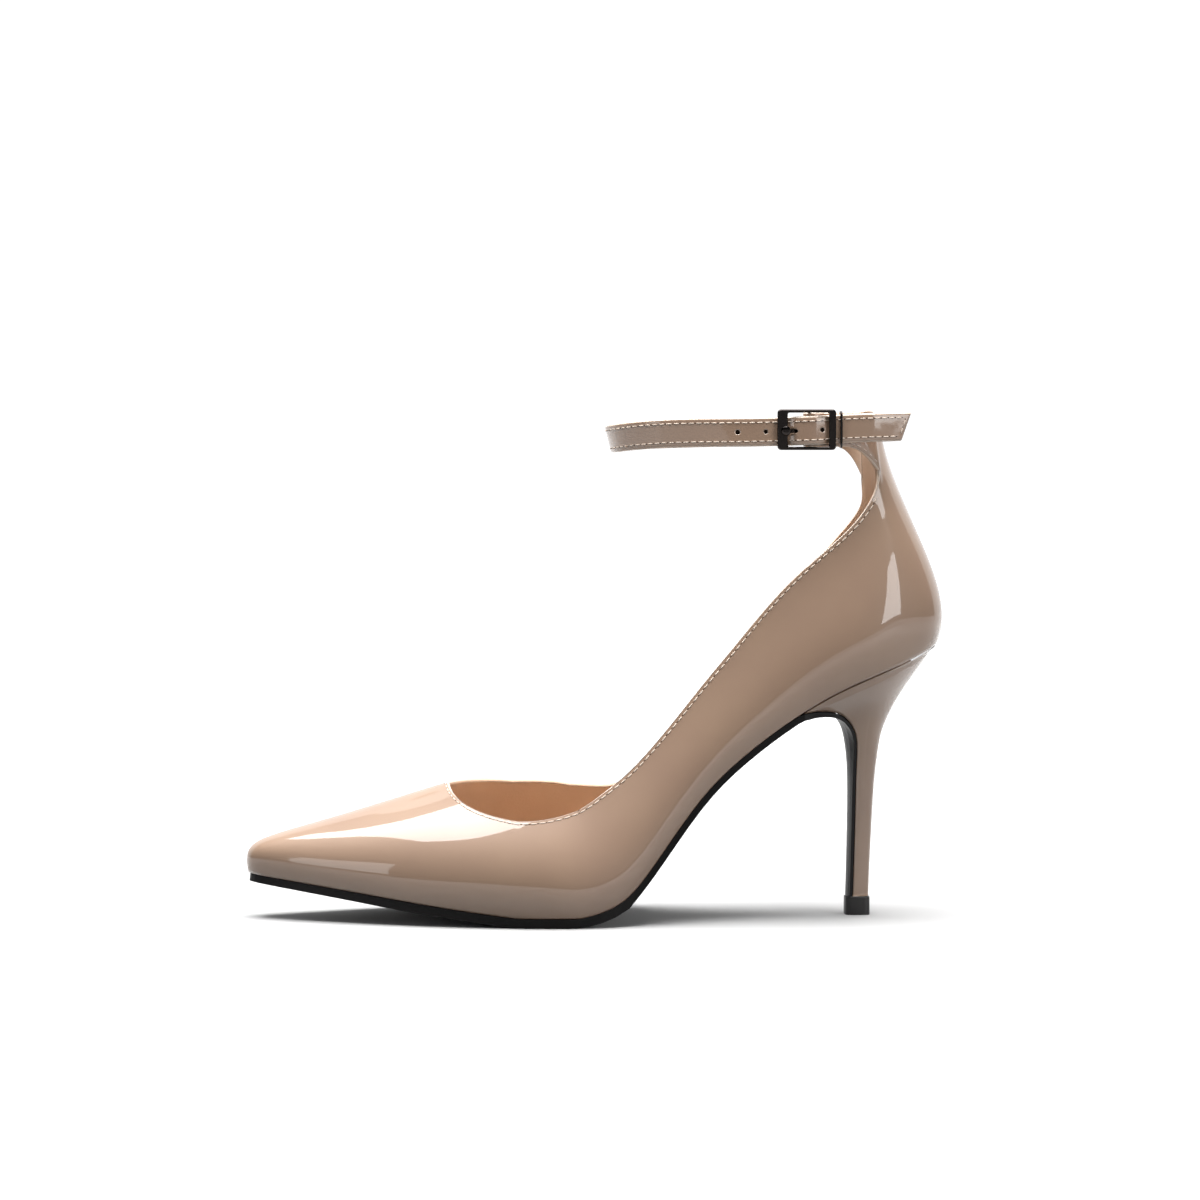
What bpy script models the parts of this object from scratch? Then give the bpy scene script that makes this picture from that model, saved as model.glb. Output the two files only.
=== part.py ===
"""Ankle strap pump, left shoe, standing on its ball and its heel.

Metres, +Z up. The toe points along -X, the outer side of the foot is at -Y, and the origin
is the middle of the top lift's ground face.
"""
import bmesh
import bpy
import numpy as np

# Main sizes
LENGTH = 0.2326
BALL_WIDTH = 0.0780
SEAT_HEIGHT = 0.0920
TOE_SPRING = 0.0119
HEEL_OVERHANG = 0.0276
BACK_RISE = 0.0850

# Walls and layers
WALL = 0.0016
INSOLE_THICKNESS = 0.0020
FOREPART_SOLE = 0.0030
TOE_SOLE = 0.0024
WAIST_SOLE = 0.0021
BREAST_FLAP = 0.0011
SOLE_INSET = 0.0005
GAP = 0.0003
EDGE_ROOM = 0.0005
POINT_TRIM = 0.0004
ROUND_END = 0.0016

# Heel
SEAT_LENGTH = 0.0478
LIFT_LENGTH = 0.0084
LIFT_WIDTH = 0.0088
LIFT_HEIGHT = 0.0060
LIFT_MARGIN = 0.0003
BREAST_BOW = 0.0022
CUP_SHARE = 0.1
TIP_ROUNDNESS = 0.62
TIP_FULLNESS = 0.9
TIP_POINT = 0.12
LIFT_CORNER = 0.45
FLAP_THINNING = 0.35

# Ankle strap and its tab
STRAP_LEVEL = 0.1629
STRAP_WIDTH = 0.0080
STRAP_THICKNESS = 0.0016
STRAP_REACH = 0.0842
STRAP_SPREAD = 0.0262
STRAP_TAIL = 0.0134
BAND_EDGE = 0.0003
HOLE_WIDTH = 0.0015
HOLE_PITCH = 0.0093
TAB_WIDTH = 0.0102
TAB_THICKNESS = 0.0011
TAB_FOLD = 0.0060
SLOT_WIDTH = 0.0024

# Buckle and keeper
BUCKLE_X = -0.0201
BUCKLE_STANDOFF = 0.0017
BUCKLE_LENGTH = 0.0194
BUCKLE_HEIGHT = 0.0134
BUCKLE_DEPTH = 0.0014
FRONT_BAR = 0.0034
REAR_BAR = 0.0023
RAIL = 0.0011
CORNER = 0.0012
CENTRE_BAR = 0.0011
BAR_SHIFT = 0.0010
BAR_SETBACK = 0.0030
PRONG_WIRE = 0.0013
PRONG_KNOB = 0.0032
PRONG_REACH = 0.0079
PRONG_RISE = 0.0034
PRONG_HOLE_SHARE = 0.65
HOOK_OPENING = 60.0
KNOB_SPAN = (-0.36, 0.48)
KEEPER_WIRE = 0.0008
KEEPER_X = -0.0085

# Grid sizes
ROUND_STEPS = 96
WALL_STEPS = 12
PLAN_STEPS = 720
HEEL_LEVELS = 24
BREAST_STEPS = 7
TURN_STEPS = 9
LIFT_STEPS = 24
RUNGS = 59
STRAP_STEPS = 84
TAB_STEPS = 40
FINE_STEPS = 400
WIRE_POINTS = 10
BEND_STEPS = 13
PRONG_STEPS = 16
KNOB_STEPS = 9

# Height of the sole's upper side along the length: the share of the length from the back, the
# share of the rise to the seat and the share of the toe spring
BOTTOM_LINE = np.array([
    # along, seat, spring
    (0.000, 1.000, 0.000),
    (0.068, 0.922, 0.000),
    (0.156, 0.824, 0.000),
    (0.230, 0.708, 0.000),
    (0.300, 0.569, 0.000),
    (0.345, 0.456, 0.000),
    (0.391, 0.303, 0.000),
    (0.425, 0.180, 0.000),
    (0.458, 0.079, 0.000),
    (0.490, 0.028, 0.000),
    (0.522, 0.004, 0.000),
    (0.570, -0.004, -0.030),
    (0.618, 0.000, 0.005),
    (0.680, 0.000, 0.150),
    (0.765, 0.000, 0.380),
    (0.850, 0.000, 0.620),
    (0.930, 0.000, 0.825),
    (1.000, 0.000, 1.000),
])

# The upper's sections from the middle of the back to the toe tip. Foot is where the wall
# leaves the sole and top is its free edge. Along is a share of the length from the back, out
# a share of the ball width from the middle line, and high a share of the back's rise above
# the sole. Belly, waist and neck say how far the wall stands out and up from the straight
# line between foot and top, and push how far it leans towards the toe, in ball widths.
SECTION_COLUMNS = ("foot_along", "foot_out", "top_along", "top_out", "top_high",
                   "belly_out", "belly_up", "waist_out", "waist_up", "neck_out", "neck_up", "push")
PUSH_SHARES = {"belly": 0.68, "waist": 1.0, "neck": 0.24}
BACK_SECTION = (0.003, 0.000, 0.087, 0.000, 1.000, 0.146, -0.05, 0.055, -0.03, -0.062, 0.00, 0.0)
OUTER_SECTIONS = (
    (0.012, 0.122, 0.089, 0.071, 1.003, 0.140, -0.05, 0.055, -0.03, -0.058, 0.00, 0.00),
    (0.030, 0.196, 0.094, 0.135, 1.006, 0.120, -0.05, 0.050, -0.02, -0.048, 0.00, 0.00),
    (0.052, 0.246, 0.100, 0.185, 0.975, 0.095, -0.03, 0.050, -0.01, -0.032, 0.00, 0.00),
    (0.078, 0.285, 0.096, 0.222, 0.800, 0.080, 0.00, 0.045, 0.00, -0.010, 0.00, 0.00),
    (0.110, 0.310, 0.112, 0.249, 0.682, 0.075, 0.00, 0.045, 0.00, -0.005, 0.00, 0.00),
    (0.150, 0.320, 0.156, 0.267, 0.600, 0.070, 0.00, 0.045, 0.00, 0.000, 0.00, 0.00),
    (0.205, 0.320, 0.235, 0.268, 0.536, 0.060, 0.00, 0.040, 0.00, 0.005, 0.00, 0.00),
    (0.270, 0.325, 0.318, 0.283, 0.452, 0.055, 0.00, 0.040, 0.00, 0.010, 0.00, 0.00),
    (0.335, 0.346, 0.392, 0.313, 0.446, 0.055, 0.00, 0.045, 0.00, 0.015, 0.00, 0.00),
    (0.400, 0.391, 0.455, 0.347, 0.478, 0.065, 0.00, 0.055, 0.00, 0.025, 0.00, 0.00),
    (0.465, 0.454, 0.505, 0.376, 0.445, 0.075, -0.01, 0.070, 0.00, 0.035, 0.00, 0.00),
    (0.530, 0.495, 0.548, 0.396, 0.400, 0.078, -0.01, 0.080, 0.00, 0.045, 0.00, 0.00),
    (0.600, 0.486, 0.597, 0.402, 0.376, 0.078, 0.00, 0.085, 0.01, 0.045, 0.01, 0.00),
    (0.680, 0.441, 0.640, 0.366, 0.379, 0.074, 0.00, 0.082, 0.02, 0.040, 0.02, 0.02),
    (0.765, 0.369, 0.672, 0.301, 0.392, 0.066, 0.00, 0.072, 0.04, 0.030, 0.03, 0.07),
    (0.855, 0.261, 0.696, 0.211, 0.418, 0.056, 0.01, 0.058, 0.04, 0.018, 0.03, 0.17),
    (0.935, 0.143, 0.707, 0.105, 0.444, 0.040, 0.04, 0.036, 0.00, 0.008, 0.01, 0.29),
    (0.986, 0.055, 0.710, 0.040, 0.461, 0.020, 0.08, 0.016, -0.06, 0.003, 0.01, 0.35),
)
TOE_SECTION = (1.001, -0.03, 0.711, -0.01, 0.465, 0.000, 0.10, 0.000, -0.08, 0.000, 0.01, 0.368)
INNER_SECTIONS = (
    (0.012, 0.122, 0.089, 0.071, 1.003, 0.140, -0.05, 0.055, -0.03, -0.058, 0.00, 0.00),
    (0.030, 0.194, 0.094, 0.135, 1.006, 0.120, -0.05, 0.050, -0.02, -0.048, 0.00, 0.00),
    (0.052, 0.240, 0.101, 0.185, 0.975, 0.095, -0.03, 0.050, -0.01, -0.032, 0.00, 0.00),
    (0.078, 0.275, 0.099, 0.220, 0.776, 0.080, 0.00, 0.040, 0.00, -0.010, 0.00, 0.00),
    (0.110, 0.297, 0.112, 0.246, 0.634, 0.070, 0.00, 0.035, 0.00, -0.005, 0.00, 0.00),
    (0.150, 0.303, 0.170, 0.256, 0.517, 0.065, 0.00, 0.030, 0.00, 0.000, 0.00, 0.00),
    (0.205, 0.297, 0.240, 0.256, 0.366, 0.060, 0.00, 0.030, 0.00, 0.005, 0.00, 0.00),
    (0.270, 0.281, 0.316, 0.270, 0.290, 0.060, 0.00, 0.040, 0.00, 0.010, 0.00, 0.00),
    (0.335, 0.275, 0.384, 0.298, 0.315, 0.070, 0.00, 0.055, 0.00, 0.020, 0.00, 0.00),
    (0.400, 0.310, 0.444, 0.333, 0.372, 0.080, 0.00, 0.070, 0.00, 0.030, 0.00, 0.00),
    (0.465, 0.377, 0.495, 0.366, 0.435, 0.085, 0.00, 0.080, 0.00, 0.040, 0.00, 0.00),
    (0.530, 0.438, 0.543, 0.382, 0.470, 0.083, 0.00, 0.086, 0.01, 0.045, 0.01, 0.00),
    (0.600, 0.463, 0.592, 0.377, 0.479, 0.078, 0.00, 0.085, 0.01, 0.045, 0.01, 0.00),
    (0.680, 0.444, 0.635, 0.345, 0.479, 0.072, 0.00, 0.080, 0.02, 0.040, 0.02, 0.02),
    (0.765, 0.377, 0.668, 0.288, 0.474, 0.064, 0.00, 0.070, 0.04, 0.030, 0.03, 0.07),
    (0.855, 0.283, 0.692, 0.205, 0.468, 0.054, 0.01, 0.056, 0.04, 0.018, 0.03, 0.17),
    (0.935, 0.180, 0.705, 0.115, 0.466, 0.040, 0.04, 0.036, 0.00, 0.008, 0.01, 0.29),
    (0.986, 0.105, 0.710, 0.055, 0.465, 0.020, 0.08, 0.016, -0.06, 0.003, 0.01, 0.35),
)

# The heel's levels from the seat down to the top lift. Each column is the share of the way
# from the lift's size to the seat's; bow is the breast's roundness.
HEEL_COLUMNS = ("width", "back", "front", "bow", "back_high", "front_high")
HEEL_ROWS = np.array([
    (1.000, 1.000, 1.000, 0.00, 1.000, 1.000),
    (0.916, 0.890, 0.760, -0.40, 0.967, 1.007),
    (0.730, 0.690, 0.452, -0.25, 0.893, 1.003),
    (0.520, 0.490, 0.240, 0.20, 0.816, 0.975),
    (0.345, 0.318, 0.105, 0.70, 0.736, 0.920),
    (0.228, 0.196, 0.040, 1.00, 0.657, 0.851),
    (0.140, 0.137, -0.006, 0.80, 0.577, 0.763),
    (0.082, 0.087, -0.035, 0.50, 0.466, 0.629),
    (0.047, 0.050, -0.035, 0.40, 0.313, 0.422),
    (0.018, 0.018, -0.018, 0.40, 0.137, 0.184),
    (0.000, 0.000, 0.000, 0.40, 0.000, 0.000),
])

# The strap's middle line from the inner side of the back round the front to the buckle: ahead
# is a share of its reach in front of the heel, tail of its reach behind, out of its spread,
# high and wide of its width, lean tips its upper edge outwards and slant sets that edge further
# on
BAND_COLUMNS = ("ahead", "tail", "out", "high", "wide", "lean", "slant")
STRAP_RUN = (
    (0.000, 0.270, 0.628, -0.33, 1.92, 0.00, -0.24),
    (0.000, 0.245, 0.672, -0.26, 1.82, 0.00, -0.22),
    (0.000, 0.120, 0.748, -0.10, 1.56, -0.06, -0.12),
    (0.030, 0.000, 0.822, 0.02, 1.28, -0.08, -0.03),
    (0.095, 0.000, 0.890, 0.05, 1.07, -0.03, 0.00),
    (0.180, 0.000, 0.930, 0.03, 1.00, 0.00, 0.00),
    (0.300, 0.000, 0.975, 0.00, 1.00, 0.00, 0.00),
    (0.500, 0.000, 0.985, -0.05, 1.00, 0.00, 0.00),
    (0.700, 0.000, 0.900, -0.10, 1.00, 0.05, 0.00),
    (0.860, 0.000, 0.690, -0.17, 1.00, 0.12, 0.00),
    (0.960, 0.000, 0.380, -0.27, 1.00, 0.20, 0.00),
    (0.991, 0.000, 0.000, -0.32, 1.00, 0.25, 0.00),
    (0.960, 0.000, -0.400, -0.25, 1.00, 0.18, 0.00),
    (0.860, 0.000, -0.720, -0.13, 1.00, 0.08, 0.00),
    (0.700, 0.000, -0.925, -0.05, 1.00, 0.03, 0.00),
    (0.500, 0.000, -0.990, -0.03, 1.00, 0.00, 0.00),
)

# The strap's way through the buckle: behind the front bar, over the middle and behind the rear
# bar. Beside is a share of the buckle's length back from its middle, weave a share of the
# strap's and the frame's thickness in from the spread, and high a share of the strap's width
BUCKLE_PASS = (
    (-0.7000, 0.0175, -0.01),
    (-0.4613, 0.0699, 0.00),
    (-0.3181, 0.0175, 0.01),
    (-0.1965, -0.3493, 0.02),
    (-0.0750, -0.6113, 0.03),
    (0.0465, -0.6463, 0.04),
    (0.1680, -0.5415, 0.05),
    (0.2809, -0.2183, 0.07),
    (0.3937, 0.0611, 0.08),
    (0.5239, 0.1048, 0.10),
)

# The strap's free tail behind the buckle, with the columns of its run
STRAP_END = (
    (0.080, 0.000, -0.982, 0.12, 1.00, 0.00, 0.00),
    (0.040, 0.000, -0.968, 0.14, 1.00, 0.00, 0.00),
    (0.000, 0.300, -0.915, 0.17, 1.00, 0.00, 0.10),
    (0.000, 1.000, -0.810, 0.20, 1.00, 0.00, 0.38),
)

# The buckle tab's middle line from the outer side of the back to the bar, with the same
# columns; ahead is a share of the bar's place in front of the heel
TAB_ROWS = (
    (0.000, 0.270, -0.628, -0.26, 1.51, 0.00, -0.24),
    (0.000, 0.245, -0.672, -0.21, 1.44, 0.00, -0.22),
    (0.000, 0.120, -0.735, -0.08, 1.28, -0.06, -0.12),
    (0.100, 0.000, -0.800, 0.01, 1.12, -0.08, -0.03),
    (0.270, 0.000, -0.868, 0.05, 1.03, -0.04, 0.00),
    (0.440, 0.000, -0.916, 0.06, 1.00, 0.00, 0.00),
    (0.620, 0.000, -0.936, 0.06, 1.00, 0.00, 0.00),
    (0.780, 0.000, -0.962, 0.06, 1.00, 0.00, 0.00),
    (0.900, 0.000, -0.996, 0.06, 1.00, 0.00, 0.00),
)

# The prong's middle line from the centre bar to the knob: shares of its reach and of its rise
PRONG_LINE = (
    (0.000, 0.000),
    (0.200, 0.015),
    (0.400, 0.110),
    (0.560, 0.290),
    (0.700, 0.580),
    (0.800, 0.810),
    (0.880, 0.930),
)


def smooth_curve(knots, rows, at):
    """Natural cubic spline through rows of values at their knots, read at the given places."""
    knots = np.asarray(knots, float)
    rows = np.asarray(rows, float)
    at = np.atleast_1d(at)
    step = np.diff(knots)
    matrix = np.eye(len(knots))
    target = np.zeros_like(rows)
    for i in range(1, len(knots) - 1):
        matrix[i, i - 1:i + 2] = (step[i - 1], 2.0 * (step[i - 1] + step[i]), step[i])
        slopes = (rows[i + 1] - rows[i]) / step[i], (rows[i] - rows[i - 1]) / step[i - 1]
        target[i] = 6.0 * (slopes[0] - slopes[1])
    bend = np.linalg.solve(matrix, target)
    k = np.clip(np.searchsorted(knots, at, side="right") - 1, 0, len(knots) - 2)
    shape = (-1,) + (1,) * (rows.ndim - 1)
    h = step[k].reshape(shape)
    b = (at - knots[k]).reshape(shape) / h
    a = 1.0 - b
    curve = (a ** 3 - a) * bend[k] + (b ** 3 - b) * bend[k + 1]
    return a * rows[k] + b * rows[k + 1] + curve * h ** 2 / 6.0


def along_to_x(along):
    """World X of a share of the length, counted from the back."""
    return HEEL_OVERHANG - along * LENGTH


def bottom_height(x):
    """Height of the sole's upper side at a world X, level across and flat under the ball."""
    along = (HEEL_OVERHANG - np.asarray(x, float)) / LENGTH
    shares = smooth_curve(BOTTOM_LINE[:, 0], BOTTOM_LINE[:, 1:], along.ravel())
    rise = shares[:, 0] * (SEAT_HEIGHT - FOREPART_SOLE) + shares[:, 1] * TOE_SPRING
    return FOREPART_SOLE + np.maximum(rise, 0.0).reshape(along.shape)


def unit(vectors):
    """The same vectors with a length of one."""
    return vectors / np.maximum(np.linalg.norm(vectors, axis=-1, keepdims=True), 1e-12)


def loop_sections():
    """All sections in one loop: back, outer side, toe, inner side, with out signed along Y."""
    outer = np.array((BACK_SECTION,) + OUTER_SECTIONS + (TOE_SECTION,))
    inner = np.array(INNER_SECTIONS)[::-1]
    sign_columns = (SECTION_COLUMNS.index("foot_out"), SECTION_COLUMNS.index("top_out"))
    for column in sign_columns:
        outer[:, column] *= -1.0
    return np.vstack((outer, inner))


def read_loop(steps):
    """Section values at evenly spaced places round the loop, as a dict of columns."""
    rows = loop_sections()
    count = len(rows)
    wrap = 4
    wrapped = np.vstack((rows[-wrap:], rows, rows[:wrap]))
    at = np.arange(steps) * count / steps
    values = smooth_curve(np.arange(-wrap, count + wrap), wrapped, at)
    return dict(zip(SECTION_COLUMNS, values.T))


def plan_normals(x, y):
    """Outward directions in plan of a closed loop that runs back, outer side, toe."""
    dx = np.roll(x, -1) - np.roll(x, 1)
    dy = np.roll(y, -1) - np.roll(y, 1)
    return unit(np.stack((-dy, dx), axis=-1))


def foot_loop(steps, inset=0.0):
    """Plan of the edge where the upper meets the sole, moved in by the inset."""
    loop = read_loop(steps)
    x = along_to_x(loop["foot_along"])
    y = loop["foot_out"] * BALL_WIDTH
    plan = np.stack((x, y), axis=-1)
    return plan - inset * plan_normals(x, y)


def upper_outside(round_steps, wall_steps):
    """Grid of the upper's outer face: each wall is a fourth-degree curve from foot to top."""
    loop = read_loop(round_steps)
    foot_plan = foot_loop(round_steps)
    foot = np.column_stack((foot_plan, bottom_height(foot_plan[:, 0]) + GAP))
    top_x = along_to_x(loop["top_along"])
    top_z = bottom_height(top_x) + loop["top_high"] * BACK_RISE
    top = np.column_stack((top_x, loop["top_out"] * BALL_WIDTH, top_z))
    out = np.column_stack((plan_normals(foot[:, 0], foot[:, 1]), np.zeros(round_steps)))
    up = np.array((0.0, 0.0, 1.0))
    ahead = np.array((-1.0, 0.0, 0.0))
    controls = [foot]
    for share, name in ((0.25, "belly"), (0.50, "waist"), (0.75, "neck")):
        stand_out = loop[name + "_out"][:, None] * BALL_WIDTH * out
        stand_up = loop[name + "_up"][:, None] * BALL_WIDTH * up
        lean = PUSH_SHARES[name] * loop["push"][:, None] * BALL_WIDTH * ahead
        controls.append(foot + share * (top - foot) + stand_out + stand_up + lean)
    controls.append(top)
    t = np.linspace(0.0, 1.0, wall_steps + 1)[:, None, None]
    weights = (1.0, 4.0, 6.0, 4.0, 1.0)
    return sum(w * t ** i * (1.0 - t) ** (4 - i) * controls[i] for i, w in enumerate(weights))


def grid_normals(grid):
    """Outward normals of a grid whose rows run foot to top and whose columns go round."""
    up = np.gradient(grid, axis=0)
    across = np.roll(grid, -1, axis=1) - np.roll(grid, 1, axis=1)
    return unit(np.cross(up, across))


def make_object(name, points, faces, colour, roughness, metallic=0.0):
    """A closed mesh as a named object with its own material, faces pointing out."""
    mesh = bpy.data.meshes.new(name)
    mesh.from_pydata([tuple(p) for p in points], [], [tuple(f) for f in faces])
    build = bmesh.new()
    build.from_mesh(mesh)
    bmesh.ops.recalc_face_normals(build, faces=build.faces)
    if build.calc_volume(signed=True) < 0.0:
        bmesh.ops.reverse_faces(build, faces=build.faces)
    build.to_mesh(mesh)
    build.free()
    mesh.shade_smooth()
    mesh.set_sharp_from_angle(angle=0.7)
    material = bpy.data.materials.new(name)
    material.use_nodes = True
    shader = material.node_tree.nodes["Principled BSDF"]
    shader.inputs["Base Color"].default_value = (*colour, 1.0)
    shader.inputs["Roughness"].default_value = roughness
    shader.inputs["Metallic"].default_value = metallic
    mesh.materials.append(material)
    piece = bpy.data.objects.new(name, mesh)
    shoe_collection.objects.link(piece)
    return piece


def make_cutter(name, points, faces):
    """A closed mesh that only shapes another piece, kept hidden beside it."""
    cutter = make_object(name, points, faces, (0.5, 0.5, 0.5), 0.5)
    shoe_collection.objects.unlink(cutter)
    cutter_collection.objects.link(cutter)
    cutter.hide_render = True
    cutter.display_type = "WIRE"
    return cutter


def combine(piece, cutter, operation):
    """Cut the cutter out of the piece, or join it on."""
    modifier = piece.modifiers.new(cutter.name, "BOOLEAN")
    modifier.operation = operation
    modifier.solver = "EXACT"
    modifier.object = cutter


def ring_faces(rings, points, first=0, closed_path=False):
    """Quads between successive rings of points, each ring a closed loop."""
    faces = []
    for r in range(rings if closed_path else rings - 1):
        here = first + r * points
        there = first + (r + 1) % rings * points
        for p in range(points):
            q = (p + 1) % points
            faces.append((here + p, here + q, there + q, there + p))
    return faces


def loft(rings, closed_path=False):
    """Points and faces of a solid through rings of points, capped unless the path closes."""
    count, size = rings.shape[:2]
    faces = ring_faces(count, size, closed_path=closed_path)
    if not closed_path:
        faces.append(tuple(range(size)))
        faces.append(tuple((count - 1) * size + p for p in range(size)))
    return rings.reshape(-1, 3), faces


def make_upper():
    """Hollow upper: outer face, inner face a wall's thickness in, joined at foot and top."""
    outside = upper_outside(ROUND_STEPS, WALL_STEPS)
    inside = outside - WALL * grid_normals(outside)
    inside[0, :, :2] = foot_loop(ROUND_STEPS, WALL)
    inside[0, :, 2] = bottom_height(inside[0, :, 0]) + GAP
    rings = np.concatenate((outside, inside[::-1]))
    faces = ring_faces(len(rings), ROUND_STEPS, closed_path=True)
    return make_object("upper", rings.reshape(-1, 3), faces, (0.71, 0.52, 0.41), 0.12)


def edges_at(inset, x):
    """Y of the outer and inner edge of the inset plan at each X."""
    plan = foot_loop(PLAN_STEPS, inset)
    plan = np.roll(plan, -np.argmax(plan[:, 0]), axis=0)
    toe = np.argmin(plan[:, 0])
    outer = plan[:toe + 1][::-1]
    inner = plan[toe:]
    return np.interp(x, outer[:, 0], outer[:, 1]), np.interp(x, inner[:, 0], inner[:, 1])


def rung_places(toe, back):
    """X of the level lines across a flat layer: evenly spaced, closer at its two round ends."""
    even = along_to_x(np.linspace(0.0, 1.0, RUNGS))
    ends = ROUND_END * np.array((0.0, 0.375, 1.0))
    inside = even[(even > toe + 2.0 * ROUND_END) & (even < back - 2.0 * ROUND_END)]
    return np.unique(np.concatenate((toe + ends, inside, back - ends)))


def plan_reach(inset):
    """Toe and back X of the inset plan, a little short of its two points."""
    plan = foot_loop(PLAN_STEPS, inset)
    return plan[:, 0].min() + POINT_TRIM, plan[:, 0].max() - POINT_TRIM


def make_insole():
    """Sock board between the walls, level across, resting on the sole and the heel."""
    inset = WALL + EDGE_ROOM
    toe, back = plan_reach(inset + EDGE_ROOM)
    x = rung_places(toe, back)
    rings = []
    for level, extra in ((0.0, 0.0), (INSOLE_THICKNESS, EDGE_ROOM)):
        outer, inner = edges_at(inset + extra, x)
        z = bottom_height(x) + GAP + level
        rings.append(np.stack((x, outer, z), axis=-1))
        rings.append(np.stack((x, inner, z), axis=-1))
    low_outer, low_inner, high_outer, high_inner = rings
    sections = np.stack((low_outer, low_inner, high_inner, high_outer), axis=1)
    points, faces = loft(sections)
    return make_object("insole", points, faces, (0.62, 0.42, 0.28), 0.6)


def heel_shares(level):
    """Columns of the heel's table at levels from 0, the seat, to 1, the top lift."""
    knots = np.linspace(0.0, 1.0, len(HEEL_ROWS))
    return dict(zip(HEEL_COLUMNS, smooth_curve(knots, HEEL_ROWS, np.asarray(level)).T))


def heel_front_x():
    """X of the seat's front edge, where the heel begins behind the waist."""
    return HEEL_OVERHANG - SEAT_LENGTH


def heel_places():
    """Seat and tip plans of the heel as paired loops: breast across, then round the back."""
    across = np.linspace(-1.0, 1.0, BREAST_STEPS)
    seat_back = plan_reach(SOLE_INSET)[1]
    seat_front = heel_front_x()
    turn = np.linspace(0.0, np.pi / 2.0, TURN_STEPS + 1)[1:]
    back_x = seat_front + (seat_back - seat_front) * np.sin(turn)
    outer, inner = edges_at(SOLE_INSET, np.array([seat_front]))
    breast = np.interp(across, (-1.0, 1.0), (outer[0], inner[0]))
    back_outer, back_inner = edges_at(SOLE_INSET, back_x)
    seat_x = np.concatenate((np.full(BREAST_STEPS, seat_front), back_x, back_x[::-1]))
    seat_y = np.concatenate((breast, back_inner, back_outer[::-1]))
    tip_front = -LIFT_LENGTH / 2.0 + LIFT_MARGIN + BREAST_FLAP + GAP
    tip_back = LIFT_LENGTH / 2.0 - LIFT_MARGIN
    tip_half = LIFT_WIDTH / 2.0 - LIFT_MARGIN
    tip_x = tip_front + (tip_back - tip_front) * np.sin(turn) ** TIP_FULLNESS
    tip_side = tip_half * np.maximum(np.cos(turn), 0.0) ** TIP_ROUNDNESS
    tip_side[-1] = tip_half * TIP_POINT
    tip_x = np.concatenate((np.full(BREAST_STEPS, tip_front), tip_x, tip_x[::-1]))
    tip_y = np.concatenate((across * tip_half, tip_side, -tip_side[::-1]))
    return np.stack((seat_x, seat_y), -1), np.stack((tip_x, tip_y), -1), across


def heel_rings(levels):
    """Rings of the covered heel from the seat down to the lift, the breast's points first."""
    seat, tip, across = heel_places()
    shares = heel_shares(levels)
    seat_reach = seat[:, 0].max(), seat[:, 0].min()
    tip_reach = tip[:, 0].max(), tip[:, 0].min()
    low = LIFT_HEIGHT + GAP
    rings = []
    for i in range(len(levels)):
        back = tip_reach[0] + shares["back"][i] * (seat_reach[0] - tip_reach[0])
        front = tip_reach[1] + shares["front"][i] * (seat_reach[1] - tip_reach[1])
        wide = shares["width"][i]
        seat_part = (seat[:, 0] - seat_reach[1]) / (seat_reach[0] - seat_reach[1])
        tip_part = (tip[:, 0] - tip_reach[1]) / (tip_reach[0] - tip_reach[1])
        part = tip_part + wide * (seat_part - tip_part)
        y = tip[:, 1] + wide * (seat[:, 1] - tip[:, 1])
        bow = np.zeros(len(y))
        bow[:BREAST_STEPS] = across ** 2
        bow[BREAST_STEPS:] = np.clip(1.0 - 2.0 * part[BREAST_STEPS:], 0.0, 1.0)
        x = front + part * (back - front) + shares["bow"][i] * BREAST_BOW * bow
        seat_z = bottom_height(seat_reach[1] + part * (seat_reach[0] - seat_reach[1])) - GAP
        front_z = low + shares["front_high"][i] * (bottom_height(seat_reach[1]) - GAP - low)
        back_z = low + shares["back_high"][i] * (bottom_height(seat_reach[0]) - GAP - low)
        flat_z = front_z + part * (back_z - front_z)
        cupped = max(0.0, 1.0 - levels[i] / CUP_SHARE)
        z = flat_z + cupped * (seat_z - flat_z)
        rings.append(np.stack((x, y, z), axis=-1))
    return np.array(rings)


def make_heel():
    """Slim covered heel, cupped to the seat and rounded down to the top lift."""
    rings = heel_rings(np.linspace(0.0, 1.0, HEEL_LEVELS))
    count, size = rings.shape[:2]
    faces = ring_faces(count, size)
    faces.append(tuple((count - 1) * size + p for p in range(size)))
    first = BREAST_STEPS
    faces.append(tuple(range(first)) + (first, size - 1))
    for r in range(TURN_STEPS - 1):
        faces.append((first + r, first + r + 1, size - 2 - r, size - 1 - r))
    return make_object("heel", rings.reshape(-1, 3), faces, (0.71, 0.52, 0.41), 0.12)


def make_top_lift():
    """Small wear piece under the heel, with the flat face that stands on the floor."""
    turn = np.linspace(-np.pi, np.pi, LIFT_STEPS, endpoint=False)
    x = LIFT_LENGTH / 2.0 * np.sign(np.cos(turn)) * np.abs(np.cos(turn)) ** LIFT_CORNER
    y = LIFT_WIDTH / 2.0 * np.sign(np.sin(turn)) * np.abs(np.sin(turn)) ** LIFT_CORNER
    rings = np.array([np.stack((x, y, np.full(LIFT_STEPS, z)), axis=-1) for z in (0.0, LIFT_HEIGHT)])
    points, faces = loft(rings)
    return make_object("top_lift", points, faces, (0.02, 0.02, 0.02), 0.5)


def sole_thickness(x):
    """Thickness of the black sole: full under the forepart, a step down to the waist."""
    along = (HEEL_OVERHANG - x) / LENGTH
    knots = (0.0, 0.445, 0.466, 0.78, 1.0)
    values = (WAIST_SOLE, WAIST_SOLE, FOREPART_SOLE, FOREPART_SOLE, TOE_SOLE)
    return np.interp(along, knots, values)


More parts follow.
